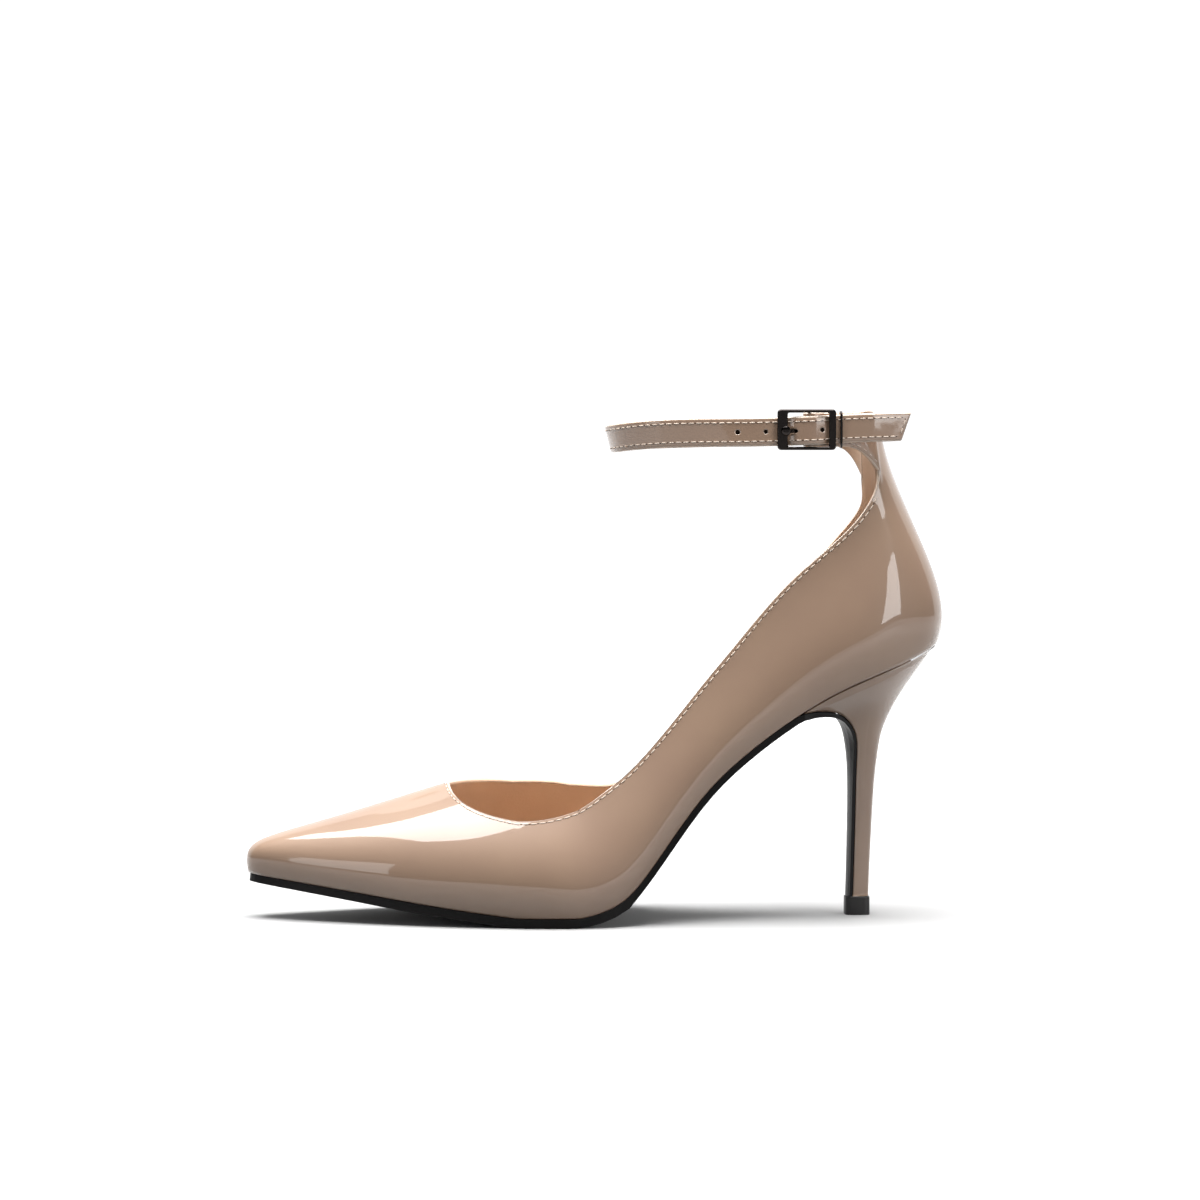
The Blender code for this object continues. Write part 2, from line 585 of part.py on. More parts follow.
def make_outsole():
    """Black sole from the toe to the waist that turns down over the heel's breast."""
    toe = plan_reach(SOLE_INSET)[0]
    waist_end = heel_front_x() - 1.5 * WAIST_SOLE
    places = rung_places(toe, HEEL_OVERHANG)
    x = np.append(places[places < waist_end - WAIST_SOLE], waist_end)
    across = np.linspace(0.0, 1.0, BREAST_STEPS)
    outer, inner = edges_at(SOLE_INSET, x)
    y = outer[:, None] + (inner - outer)[:, None] * across
    near = WALL / 16.0
    slope = (bottom_height(x + near) - bottom_height(x - near)) / (2.0 * near)
    normal = unit(np.stack((-slope, np.ones(len(x))), axis=-1))
    thick = sole_thickness(x)[:, None] * normal
    upper_face = np.stack(np.broadcast_arrays(x[:, None], y, bottom_height(x)[:, None]), -1)
    lower_face = upper_face.copy()
    lower_face[..., 0] -= thick[:, :1]
    lower_face[..., 2] -= thick[:, 1:]
    levels = np.linspace(0.0, 1.0, HEEL_LEVELS)
    breast = heel_rings(levels)[:, :BREAST_STEPS]
    down = np.gradient(breast, axis=0)
    side = np.gradient(breast, axis=1)
    outward = unit(np.cross(side, down))
    thin = np.interp(levels, (0.0, FLAP_THINNING), (WAIST_SOLE, BREAST_FLAP))[:, None, None]
    flap_inner = breast + GAP * outward
    flap_outer = flap_inner + thin * outward
    upper_face = np.concatenate((upper_face, flap_inner))
    lower_face = np.concatenate((lower_face, flap_outer))
    sections = np.concatenate((upper_face, lower_face[:, ::-1]), axis=1)
    points, faces = loft(sections)
    return make_object("outsole", points, faces, (0.02, 0.02, 0.02), 0.35)


def spaced(line, count):
    """The same line of points with its points evenly spaced along it."""
    steps = np.linalg.norm(np.diff(line[:, :3], axis=0), axis=1)
    walked = np.concatenate(([0.0], np.cumsum(steps)))
    at = np.linspace(0.0, walked[-1], count)
    return np.column_stack([np.interp(at, walked, values) for values in line.T])


def band_places(rows, reach, width):
    """Rows of a band's table as x, y, z, width, lean and slant."""
    row = dict(zip(BAND_COLUMNS, np.array(rows).T))
    x = row["tail"] * STRAP_TAIL - row["ahead"] * reach
    y = row["out"] * STRAP_SPREAD
    z = STRAP_LEVEL + row["high"] * width
    return np.column_stack((x, y, z, row["wide"] * width, row["lean"], row["slant"]))


def pass_places():
    """The strap's places through the buckle, with the same values."""
    beside, weave, high = np.array(BUCKLE_PASS).T
    x = BUCKLE_X + beside * BUCKLE_LENGTH
    y = weave * (BUCKLE_DEPTH + STRAP_THICKNESS) - STRAP_SPREAD
    upright = np.zeros(len(x))
    wide = np.full(len(x), STRAP_WIDTH)
    return np.column_stack((x, y, STRAP_LEVEL + high * STRAP_WIDTH, wide, upright, upright))


def fine_line(places):
    """Fine middle line of a band through its places."""
    return smooth_curve(np.linspace(0.0, 1.0, len(places)), places, np.linspace(0.0, 1.0, FINE_STEPS))


def strap_line():
    """Fine middle line of the strap: its run, its way through the buckle and its tail."""
    run = band_places(STRAP_RUN, STRAP_REACH, STRAP_WIDTH)
    tail = band_places(STRAP_END, STRAP_REACH, STRAP_WIDTH)
    return fine_line(np.concatenate((run, pass_places(), tail)))


def tab_run():
    """Fine middle line of the tab from the back to the centre bar."""
    return fine_line(band_places(TAB_ROWS, -bar_plan()[0], TAB_WIDTH))


def bar_plan():
    """Plan place of the buckle's centre bar, set back towards the foot."""
    return np.array((BUCKLE_X + BAR_SHIFT, BAR_SETBACK - BUCKLE_STANDOFF - STRAP_SPREAD))


def tab_line():
    """Middle line of the buckle tab: forward to the bar, round it and back on the inside."""
    bar = bar_plan()
    outer = tab_run()
    around = (CENTRE_BAR + TAB_THICKNESS) / 2.0 + GAP
    turn = np.linspace(0.0, np.pi, BEND_STEPS)
    x = np.append(bar[0] - around * np.sin(turn), bar[0] + TAB_FOLD)
    beside = np.interp(-x[-1], -outer[:, 0], outer[:, 1])
    y = np.append(bar[1] - around * np.cos(turn), beside + TAB_THICKNESS + GAP)
    level = np.tile(outer[-1, 2:], (len(x), 1))
    return np.concatenate((outer, np.column_stack((x, y, level))))


def band_rings(line, thickness):
    """Flat sections with softened edges along a line of x, y, z, width, lean and slant."""
    along = unit(np.gradient(line[:, :3], axis=0) * (1.0, 1.0, 0.0))
    across = np.cross(along, (0.0, 0.0, 1.0))
    up = unit(line[:, 4:5] * across + (0.0, 0.0, 1.0))
    side = np.cross(along, up)
    half = thickness / 2.0
    inner = half - BAND_EDGE
    corners = ((-half, -1.0, BAND_EDGE), (-inner, -1.0, 0.0), (inner, -1.0, 0.0),
               (half, -1.0, BAND_EDGE), (half, 1.0, BAND_EDGE), (inner, 1.0, 0.0),
               (-inner, 1.0, 0.0), (-half, 1.0, BAND_EDGE))
    points = []
    for out, sign, trim in corners:
        reach = sign * (line[:, 3:4] / 2.0 - trim)
        points.append(line[:, :3] + out * side + reach * (up + line[:, 5:6] * along))
    return np.stack(points, axis=1)


def wire_rings(centre, plane_normal, wide, deep, closed_path=False):
    """Oval sections along a flat line: wide across its plane, deep within it."""
    if closed_path:
        along = unit(np.roll(centre, -1, axis=0) - np.roll(centre, 1, axis=0))
    else:
        along = unit(np.gradient(centre, axis=0))
    sideways = unit(np.cross(along, plane_normal))
    turn = np.arange(WIRE_POINTS) * 2.0 * np.pi / WIRE_POINTS
    wide = np.broadcast_to(wide, len(centre))[:, None, None] * np.cos(turn)[None, :, None]
    deep = np.broadcast_to(deep, len(centre))[:, None, None] * np.sin(turn)[None, :, None]
    return centre[:, None, :] + wide * np.array(plane_normal) + deep * sideways[:, None, :]


def prong_rings(extra=0.0):
    """Sections of the prong: a hook round the bar, a bent wire and a flat round knob."""
    bar = bar_plan()
    hook = (CENTRE_BAR + PRONG_WIRE) / 2.0 + GAP / 2.0
    turn = np.linspace(-np.radians(HOOK_OPENING), np.pi, BEND_STEPS + 1)[:-1]
    hook_x = bar[0] + hook * np.sin(turn)
    hook_y = bar[1] + hook * np.cos(turn)
    rows = np.array(PRONG_LINE)
    line = smooth_curve(rows[:, 0], rows, np.linspace(rows[0, 0], rows[-1, 0], PRONG_STEPS))
    wire_x = bar[0] - line[:, 0] * PRONG_REACH
    wire_y = bar[1] - hook - line[:, 1] * PRONG_RISE
    along = np.sin(np.linspace(*KNOB_SPAN, KNOB_STEPS) * np.pi)
    knob_x = bar[0] - PRONG_REACH - along * PRONG_KNOB / 2.0
    knob_y = np.full(len(along), bar[1] - hook - PRONG_RISE)
    round_off = np.sqrt(1.0 - along ** 2)
    thin = np.full(len(turn) + len(line), PRONG_WIRE / 2.0)
    wide = np.concatenate((thin, PRONG_KNOB / 2.0 * round_off)) + extra
    deep = np.concatenate((thin, PRONG_WIRE / 2.0 * round_off ** 0.5)) + extra
    x = np.concatenate((hook_x, wire_x, knob_x))
    y = np.concatenate((hook_y, wire_y, knob_y))
    z = np.full(len(x), prong_height())
    return wire_rings(np.column_stack((x, y, z)), (0.0, 0.0, 1.0), wide, deep)


def prong_height():
    """Height of the prong, the middle of the strap where it passes the bar."""
    outer_half = strap_line()[FINE_STEPS // 2:]
    return np.interp(-bar_plan()[0] + PRONG_REACH / 2.0, -outer_half[::-1, 0], outer_half[::-1, 2])


def strap_hole(x):
    """Round cutter for a hole straight through the strap on its outer side."""
    line = strap_line()[FINE_STEPS // 2:]
    y = np.interp(x, line[:, 0], line[:, 1])
    z = np.interp(x, line[:, 0], line[:, 2])
    ends = np.array([(x, y - side * 2.0 * STRAP_THICKNESS, z) for side in (1.0, -1.0)])
    return wire_rings(ends, (0.0, 0.0, 1.0), HOLE_WIDTH / 2.0, HOLE_WIDTH / 2.0)


def make_strap():
    """Narrow strap from the inner quarter round the ankle and through the buckle to its tail."""
    line = spaced(strap_line(), STRAP_STEPS)
    points, faces = loft(band_rings(line, STRAP_THICKNESS))
    strap = make_object("ankle_strap", points, faces, (0.71, 0.52, 0.41), 0.12)
    combine(strap, make_cutter("prong_room", *loft(prong_rings(GAP))), "DIFFERENCE")
    prong_hole = bar_plan()[0] - PRONG_HOLE_SHARE * PRONG_REACH
    for name, pitches in (("hole_behind", -1.0), ("hole_ahead", 1.0), ("hole_front", 2.0)):
        rings = strap_hole(prong_hole - pitches * HOLE_PITCH)
        combine(strap, make_cutter(name, *loft(rings)), "DIFFERENCE")
    return strap


def make_tab():
    """Tab of the outer quarter, folded round the centre bar, with a slot for the prong."""
    line = spaced(tab_line(), TAB_STEPS)
    points, faces = loft(band_rings(line, TAB_THICKNESS))
    tab = make_object("buckle_tab", points, faces, (0.71, 0.52, 0.41), 0.12)
    bar = bar_plan()
    reach = CENTRE_BAR + PRONG_WIRE + TAB_THICKNESS
    corners = [(bar[0] + x * reach, bar[1] + y * reach) for x, y in ((-1, -1), (1, -1), (1, 1), (-1, 1))]
    rings = [[(x, y, prong_height() + side * SLOT_WIDTH / 2.0) for x, y in corners] for side in (-1, 1)]
    combine(tab, make_cutter("prong_slot", *loft(np.array(rings))), "DIFFERENCE")
    return tab


def rounded_box(left, right, low, high, corner, steps=5):
    """Outline of a rectangle with round corners, as pairs."""
    turn = np.linspace(0.0, np.pi / 2.0, steps)
    points = []
    for i, (x, z) in enumerate(((right, high), (left, high), (left, low), (right, low))):
        angle = turn + i * np.pi / 2.0
        middle_x = x - corner * np.sign(x - (left + right) / 2.0)
        middle_z = z - corner * np.sign(z - (low + high) / 2.0)
        points.append(np.column_stack((middle_x + corner * np.cos(angle), middle_z + corner * np.sin(angle))))
    return np.concatenate(points)


def buckle_height():
    """Height of the buckle's middle, level with the tab at the bar."""
    return STRAP_LEVEL + TAB_ROWS[-1][BAND_COLUMNS.index("high")] * TAB_WIDTH


def make_buckle():
    """Rectangular frame with softened edges and a centre bar on two short legs."""
    half = BUCKLE_LENGTH / 2.0
    soft = BAND_EDGE
    rings = []
    for window, inset, depth in ((False, soft, -1.0), (False, 0.0, -1.0), (False, 0.0, 1.0), (False, soft, 1.0),
                                 (True, soft, 1.0), (True, 0.0, 1.0), (True, 0.0, -1.0), (True, soft, -1.0)):
        reach = BUCKLE_DEPTH / 2.0 - (0.0 if inset else soft)
        left, right, tall, corner = -half + inset, half - inset, BUCKLE_HEIGHT / 2.0 - inset, CORNER
        if window:
            left, right = -half + FRONT_BAR - inset, half - REAR_BAR + inset
            tall = BUCKLE_HEIGHT / 2.0 - RAIL + inset
            corner = CORNER / 2.0
        flat = rounded_box(left, right, -tall, tall, corner)
        depths = np.full(len(flat), depth * reach - BUCKLE_STANDOFF - STRAP_SPREAD)
        rings.append(np.column_stack((BUCKLE_X + flat[:, 0], depths, buckle_height() + flat[:, 1])))
    points, faces = loft(np.array(rings), closed_path=True)
    frame = make_object("buckle_frame", points, faces, (0.1, 0.09, 0.085), 0.2, 1.0)
    bar = bar_plan()
    leg = BUCKLE_HEIGHT / 2.0 - RAIL / 2.0
    bend = CENTRE_BAR / 2.0
    turn = np.linspace(0.0, np.pi / 2.0, 4)
    upper_y = np.append(-BUCKLE_STANDOFF - STRAP_SPREAD, bar[1] - bend + bend * np.sin(turn))
    upper_z = np.append(leg, leg - bend + bend * np.cos(turn))
    y = np.concatenate((upper_y, upper_y[::-1]))
    z = np.concatenate((upper_z, -upper_z[::-1])) + buckle_height()
    centre = np.column_stack((np.full(len(y), bar[0]), y, z))
    rings = wire_rings(centre, (1.0, 0.0, 0.0), CENTRE_BAR / 2.0, CENTRE_BAR / 2.0)
    combine(frame, make_cutter("centre_bar", *loft(rings)), "UNION")
    return frame


def make_prong():
    """Prong that hangs on the centre bar and rests its knob on the front bar."""
    points, faces = loft(prong_rings())
    return make_object("buckle_prong", points, faces, (0.1, 0.09, 0.085), 0.2, 1.0)


def make_keeper():
    """Thin wire loop round the tab and the strap's tail."""
    strap = strap_line()[FINE_STEPS // 2:]
    tab = tab_run()
    outer = np.interp(KEEPER_X, strap[:, 0], strap[:, 1]) - STRAP_THICKNESS / 2.0
    inner = np.interp(-KEEPER_X, -tab[:, 0], tab[:, 1]) + TAB_THICKNESS / 2.0
    room = GAP + KEEPER_WIRE / 2.0
    tall = TAB_WIDTH / 2.0 + room
    flat = rounded_box(outer - room, inner + room, -tall, tall, CORNER)
    centre = np.column_stack((np.full(len(flat), KEEPER_X), flat[:, 0], buckle_height() + flat[:, 1]))
    rings = wire_rings(centre, (1.0, 0.0, 0.0), KEEPER_WIRE / 2.0, KEEPER_WIRE / 2.0, closed_path=True)
    points, faces = loft(rings, closed_path=True)
    return make_object("keeper", points, faces, (0.1, 0.09, 0.085), 0.2, 1.0)


for item in list(bpy.data.objects):
    bpy.data.objects.remove(item, do_unlink=True)

shoe_collection = bpy.data.collections.new("ankle_strap_pump")
bpy.context.scene.collection.children.link(shoe_collection)
cutter_collection = bpy.data.collections.new("cutters")
bpy.context.scene.collection.children.link(cutter_collection)

make_upper()
make_insole()
make_outsole()
make_heel()
make_top_lift()
make_tab()
make_strap()
make_buckle()
make_prong()
make_keeper()
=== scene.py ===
"""Ankle strap pump, left shoe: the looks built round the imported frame, in metres."""

import math

import bmesh
import bpy
import numpy as np
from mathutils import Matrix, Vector


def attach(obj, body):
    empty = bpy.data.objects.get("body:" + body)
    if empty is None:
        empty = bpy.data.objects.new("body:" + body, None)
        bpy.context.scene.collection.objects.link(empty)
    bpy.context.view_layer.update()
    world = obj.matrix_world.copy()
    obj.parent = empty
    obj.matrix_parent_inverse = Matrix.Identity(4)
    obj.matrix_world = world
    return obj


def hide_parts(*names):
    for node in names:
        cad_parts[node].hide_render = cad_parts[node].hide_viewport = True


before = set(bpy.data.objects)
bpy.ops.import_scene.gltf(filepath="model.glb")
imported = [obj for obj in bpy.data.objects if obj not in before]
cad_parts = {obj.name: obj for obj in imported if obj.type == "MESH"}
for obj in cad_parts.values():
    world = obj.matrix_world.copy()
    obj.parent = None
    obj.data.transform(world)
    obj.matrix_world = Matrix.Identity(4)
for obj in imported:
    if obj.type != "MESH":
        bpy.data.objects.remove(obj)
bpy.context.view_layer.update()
scene = bpy.context.scene
scene.view_settings.view_transform = "Standard"

# Studio: a pale seamless floor that throws no light back on the shoe, a lit wall behind it, a
# large overhead softbox and one upright softbox on each side. The lens is long and almost level
# with the strap.


def colour(code):
    """An sRGB hex code as linear RGBA: each channel through the sRGB decoding curve."""
    channels = np.array([int(code[i:i + 2], 16) for i in (0, 2, 4)]) / 255.0
    linear = np.where(channels <= 0.04045, channels / 12.92, ((channels + 0.055) / 1.055) ** 2.4)
    return (*[float(c) for c in linear], 1.0)


def add_node(tree, kind, inputs=None, **settings):
    """One shader node with its settings, and its inputs set to values or joined to sockets."""
    made = tree.nodes.new("ShaderNode" + kind)
    for name, value in settings.items():
        setattr(made, name, value)
    for name, value in (inputs or {}).items():
        if isinstance(value, bpy.types.NodeSocket):
            tree.links.new(value, made.inputs[name])
        else:
            made.inputs[name].default_value = value
    return made


def new_material(name):
    """A material with an empty tree, ready for its own nodes, and that tree."""
    made = bpy.data.materials.new(name)
    made.use_nodes = True
    made.node_tree.nodes.clear()
    return made, made.node_tree


lens = bpy.data.cameras.new("camera")
lens.lens = 125.0
lens.sensor_width = 36.0
lens.clip_end = 50.0
camera = bpy.data.objects.new("camera", lens)
scene.collection.objects.link(camera)
turn = math.radians(3.0)
pitch = math.atan(170.0 / 4167.0)
camera.location = (-0.1601, -1.3971, 0.1634)
aim = Vector((math.sin(turn) * math.cos(pitch), math.cos(turn) * math.cos(pitch), -math.sin(pitch)))
camera.rotation_euler = aim.to_track_quat("-Z", "Y").to_euler()
scene.camera = camera

floor_material, tree = new_material("studio_paper")
# Matt pale grey paper: no gloss, so it only carries the shoe's soft shadow; away from the shoe
# a painted glow (white emission) brings it up to white, rising from 0.22 m to 1 m out.
place = add_node(tree, "TexCoord")
out_from_shoe = add_node(tree, "VectorMath", {0: place.outputs["Object"]}, operation="LENGTH")
# Painted glow: emission strength 0 within 0.22 m of the shoe, rising to 1 at 1 m out
painted_glow = add_node(tree, "MapRange", {"Value": out_from_shoe.outputs["Value"], "From Min": 0.22,
                                  "From Max": 1.0}, interpolation_type="SMOOTHSTEP")
paper = add_node(tree, "BsdfPrincipled", {"Base Color": colour("C0C0C0"), "Roughness": 0.9,
                                          "Specular IOR Level": 0.1, "Emission Color": colour("FFFFFF"),
                                          "Emission Strength": painted_glow.outputs["Result"]})
add_node(tree, "OutputMaterial", {"Surface": paper.outputs[0]})
floor_mesh = bpy.data.meshes.new("floor")
reach = 12.0
wall_y = 6.0
floor_mesh.from_pydata([(-reach, -reach, 0), (reach, -reach, 0), (reach, reach, 0), (-reach, reach, 0)],
                       [], [(0, 1, 2, 3)])
floor_mesh.materials.append(floor_material)
floor = bpy.data.objects.new("floor", floor_mesh)
floor.visible_diffuse = False
scene.collection.objects.link(floor)

# Lit paper wall 6 m behind, which gives the white ground and the bright rim on the vamp
wall_material, tree = new_material("lit_paper")
glow = add_node(tree, "Emission", {"Color": colour("FFFFFF"), "Strength": 1.1})
add_node(tree, "OutputMaterial", {"Surface": glow.outputs[0]})
wall_mesh = bpy.data.meshes.new("backdrop")
wall_mesh.from_pydata([(-reach, wall_y, -0.01), (reach, wall_y, -0.01),
                       (reach, wall_y, 6.0), (-reach, wall_y, 6.0)], [], [(0, 1, 2, 3)])
wall_mesh.materials.append(wall_material)
backdrop = bpy.data.objects.new("backdrop", wall_mesh)
scene.collection.objects.link(backdrop)

world = bpy.data.worlds.new("studio")
world.use_nodes = True
world.node_tree.nodes["Background"].inputs["Color"].default_value = colour("FFFFFF")
world.node_tree.nodes["Background"].inputs["Strength"].default_value = 0.11
scene.world = world


def softbox(name, place, size, radiance, aim=(-0.08, 0.0, 0.06)):
    """A rectangular area light that faces its aim; its power is radiance times pi times area."""
    light = bpy.data.lights.new(name, "AREA")
    light.shape = "RECTANGLE"
    light.size, light.size_y = size
    light.energy = radiance * math.pi * size[0] * size[1]
    lamp = bpy.data.objects.new(name, light)
    lamp.location = place
    lamp.rotation_euler = (Vector(aim) - Vector(place)).to_track_quat("-Z", "Y").to_euler()
    scene.collection.objects.link(lamp)


softbox("overhead_softbox", (-0.16, 0.00, 1.10), (1.15, 0.98), 11.0, aim=(-0.16, 0.00, 0.03))
softbox("right_softbox", (1.15, -1.15, 0.42), (0.85, 0.52), 6.5)
softbox("left_softbox", (-1.3, -1.0, 0.35), (0.40, 0.50), 3.0)

# Upper: one cut of nude patent leather lasted over a pointed last, lined with thin tan
# leather. Its free edge is folded and stitched all round, and the back rises to the strap.
LENGTH = 0.2326
BALL_WIDTH = 0.0780
SEAT_HEIGHT = 0.0920
TOE_SPRING = 0.0119
HEEL_OVERHANG = 0.0276
BACK_RISE = 0.0850
WALL = 0.0016
FOREPART_SOLE = 0.0030
GAP = 0.0003

# Height of the sole's upper side: share of the length from the back, of the rise, of the spring
BOTTOM_LINE = np.array([
    (0.000, 1.000, 0.000), (0.068, 0.922, 0.000), (0.156, 0.824, 0.000), (0.230, 0.708, 0.000),
    (0.300, 0.569, 0.000), (0.345, 0.456, 0.000), (0.391, 0.303, 0.000), (0.425, 0.180, 0.000),
    (0.458, 0.079, 0.000), (0.490, 0.028, 0.000), (0.522, 0.004, 0.000), (0.570, -0.004, -0.030),
    (0.618, 0.000, 0.005), (0.680, 0.000, 0.150), (0.765, 0.000, 0.380), (0.850, 0.000, 0.620),
    (0.930, 0.000, 0.825), (1.000, 0.000, 1.000),
])

# Sections of the wall from the back round to the toe, in shares of the length, the ball width
# and the back's rise
SECTION_COLUMNS = ("foot_along", "foot_out", "top_along", "top_out", "top_high",
                   "belly_out", "belly_up", "waist_out", "waist_up", "neck_out", "neck_up", "push")
PUSH_SHARES = {"belly": 0.68, "waist": 1.0, "neck": 0.24}
BACK_SECTION = (0.003, 0.000, 0.087, 0.000, 1.000, 0.146, -0.05, 0.055, -0.03, -0.062, 0.00, 0.0)
OUTER_SECTIONS = (
    (0.012, 0.122, 0.089, 0.071, 1.003, 0.140, -0.05, 0.055, -0.03, -0.058, 0.00, 0.00),
    (0.030, 0.196, 0.094, 0.135, 1.006, 0.120, -0.05, 0.050, -0.02, -0.048, 0.00, 0.00),
    (0.052, 0.246, 0.100, 0.185, 0.975, 0.095, -0.03, 0.050, -0.01, -0.032, 0.00, 0.00),
    (0.078, 0.285, 0.096, 0.222, 0.800, 0.080, 0.00, 0.045, 0.00, -0.010, 0.00, 0.00),
    (0.110, 0.310, 0.112, 0.249, 0.682, 0.075, 0.00, 0.045, 0.00, -0.005, 0.00, 0.00),
    (0.150, 0.320, 0.156, 0.267, 0.600, 0.070, 0.00, 0.045, 0.00, 0.000, 0.00, 0.00),
    (0.205, 0.320, 0.235, 0.268, 0.536, 0.060, 0.00, 0.040, 0.00, 0.005, 0.00, 0.00),
    (0.270, 0.325, 0.318, 0.283, 0.452, 0.055, 0.00, 0.040, 0.00, 0.010, 0.00, 0.00),
    (0.335, 0.346, 0.392, 0.313, 0.446, 0.055, 0.00, 0.045, 0.00, 0.015, 0.00, 0.00),
    (0.400, 0.391, 0.455, 0.347, 0.478, 0.065, 0.00, 0.055, 0.00, 0.025, 0.00, 0.00),
    (0.465, 0.454, 0.505, 0.376, 0.445, 0.075, -0.01, 0.070, 0.00, 0.035, 0.00, 0.00),
    (0.530, 0.495, 0.548, 0.396, 0.400, 0.078, -0.01, 0.080, 0.00, 0.045, 0.00, 0.00),
    (0.600, 0.486, 0.597, 0.402, 0.376, 0.078, 0.00, 0.085, 0.01, 0.045, 0.01, 0.00),
    (0.680, 0.441, 0.640, 0.366, 0.379, 0.074, 0.00, 0.082, 0.02, 0.040, 0.02, 0.02),
    (0.765, 0.369, 0.672, 0.301, 0.392, 0.066, 0.00, 0.072, 0.04, 0.030, 0.03, 0.07),
    (0.855, 0.261, 0.696, 0.211, 0.418, 0.056, 0.01, 0.058, 0.04, 0.018, 0.03, 0.17),
    (0.935, 0.143, 0.707, 0.105, 0.444, 0.040, 0.04, 0.036, 0.00, 0.008, 0.01, 0.29),
    (0.986, 0.055, 0.710, 0.040, 0.461, 0.020, 0.08, 0.016, -0.06, 0.003, 0.01, 0.35),
)
TOE_SECTION = (1.001, -0.03, 0.711, -0.01, 0.465, 0.000, 0.10, 0.000, -0.08, 0.000, 0.01, 0.368)
INNER_SECTIONS = (
    (0.012, 0.122, 0.089, 0.071, 1.003, 0.140, -0.05, 0.055, -0.03, -0.058, 0.00, 0.00),
    (0.030, 0.194, 0.094, 0.135, 1.006, 0.120, -0.05, 0.050, -0.02, -0.048, 0.00, 0.00),
    (0.052, 0.240, 0.101, 0.185, 0.975, 0.095, -0.03, 0.050, -0.01, -0.032, 0.00, 0.00),
    (0.078, 0.275, 0.099, 0.220, 0.776, 0.080, 0.00, 0.040, 0.00, -0.010, 0.00, 0.00),
    (0.110, 0.297, 0.112, 0.246, 0.634, 0.070, 0.00, 0.035, 0.00, -0.005, 0.00, 0.00),
    (0.150, 0.303, 0.170, 0.256, 0.517, 0.065, 0.00, 0.030, 0.00, 0.000, 0.00, 0.00),
    (0.205, 0.297, 0.240, 0.256, 0.366, 0.060, 0.00, 0.030, 0.00, 0.005, 0.00, 0.00),
    (0.270, 0.281, 0.316, 0.270, 0.290, 0.060, 0.00, 0.040, 0.00, 0.010, 0.00, 0.00),
    (0.335, 0.275, 0.384, 0.298, 0.315, 0.070, 0.00, 0.055, 0.00, 0.020, 0.00, 0.00),
    (0.400, 0.310, 0.444, 0.333, 0.372, 0.080, 0.00, 0.070, 0.00, 0.030, 0.00, 0.00),
    (0.465, 0.377, 0.495, 0.366, 0.435, 0.085, 0.00, 0.080, 0.00, 0.040, 0.00, 0.00),
    (0.530, 0.438, 0.543, 0.382, 0.470, 0.083, 0.00, 0.086, 0.01, 0.045, 0.01, 0.00),
    (0.600, 0.463, 0.592, 0.377, 0.479, 0.078, 0.00, 0.085, 0.01, 0.045, 0.01, 0.00),
    (0.680, 0.444, 0.635, 0.345, 0.479, 0.072, 0.00, 0.080, 0.02, 0.040, 0.02, 0.02),
    (0.765, 0.377, 0.668, 0.288, 0.474, 0.064, 0.00, 0.070, 0.04, 0.030, 0.03, 0.07),
    (0.855, 0.283, 0.692, 0.205, 0.468, 0.054, 0.01, 0.056, 0.04, 0.018, 0.03, 0.17),
    (0.935, 0.180, 0.705, 0.115, 0.466, 0.040, 0.04, 0.036, 0.00, 0.008, 0.01, 0.29),
    (0.986, 0.105, 0.710, 0.055, 0.465, 0.020, 0.08, 0.016, -0.06, 0.003, 0.01, 0.35),
)


def smooth_curve(knots, rows, at):
    """Natural cubic spline through rows of values at their knots, read at the given places."""
    knots = np.asarray(knots, float)
    rows = np.asarray(rows, float)
    at = np.atleast_1d(at)
    step = np.diff(knots)
    matrix = np.eye(len(knots))
    target = np.zeros_like(rows)
    for i in range(1, len(knots) - 1):
        matrix[i, i - 1:i + 2] = (step[i - 1], 2.0 * (step[i - 1] + step[i]), step[i])
        slopes = (rows[i + 1] - rows[i]) / step[i], (rows[i] - rows[i - 1]) / step[i - 1]
        target[i] = 6.0 * (slopes[0] - slopes[1])
    bend = np.linalg.solve(matrix, target)
    k = np.clip(np.searchsorted(knots, at, side="right") - 1, 0, len(knots) - 2)
    shape = (-1,) + (1,) * (rows.ndim - 1)
    h = step[k].reshape(shape)
    b = (at - knots[k]).reshape(shape) / h
    a = 1.0 - b
    curve = (a ** 3 - a) * bend[k] + (b ** 3 - b) * bend[k + 1]
    return a * rows[k] + b * rows[k + 1] + curve * h ** 2 / 6.0


def along_to_x(along):
    """X of a share of the length, counted from the back."""
    return HEEL_OVERHANG - along * LENGTH


def bottom_height(x):
    """Height of the sole's upper side at X: the seat's and the toe spring's shares added."""
    along = (HEEL_OVERHANG - np.asarray(x, float)) / LENGTH
    shares = smooth_curve(BOTTOM_LINE[:, 0], BOTTOM_LINE[:, 1:], along.ravel())
    rise = shares[:, 0] * (SEAT_HEIGHT - FOREPART_SOLE) + shares[:, 1] * TOE_SPRING
    return FOREPART_SOLE + np.maximum(rise, 0.0).reshape(along.shape)


def unit(vectors):
    """The same vectors with a length of one."""
    return vectors / np.maximum(np.linalg.norm(vectors, axis=-1, keepdims=True), 1e-12)


def read_loop(steps):
    """Section values at even places round the loop: back, outer side, toe, inner side."""
    outer = np.array((BACK_SECTION,) + OUTER_SECTIONS + (TOE_SECTION,))
    outer[:, [1, 3]] *= -1.0
    rows = np.vstack((outer, np.array(INNER_SECTIONS)[::-1]))
    wrapped = np.vstack((rows[-4:], rows, rows[:4]))
    values = smooth_curve(np.arange(-4, len(rows) + 4), wrapped, np.arange(steps) * len(rows) / steps)
    return dict(zip(SECTION_COLUMNS, values.T))


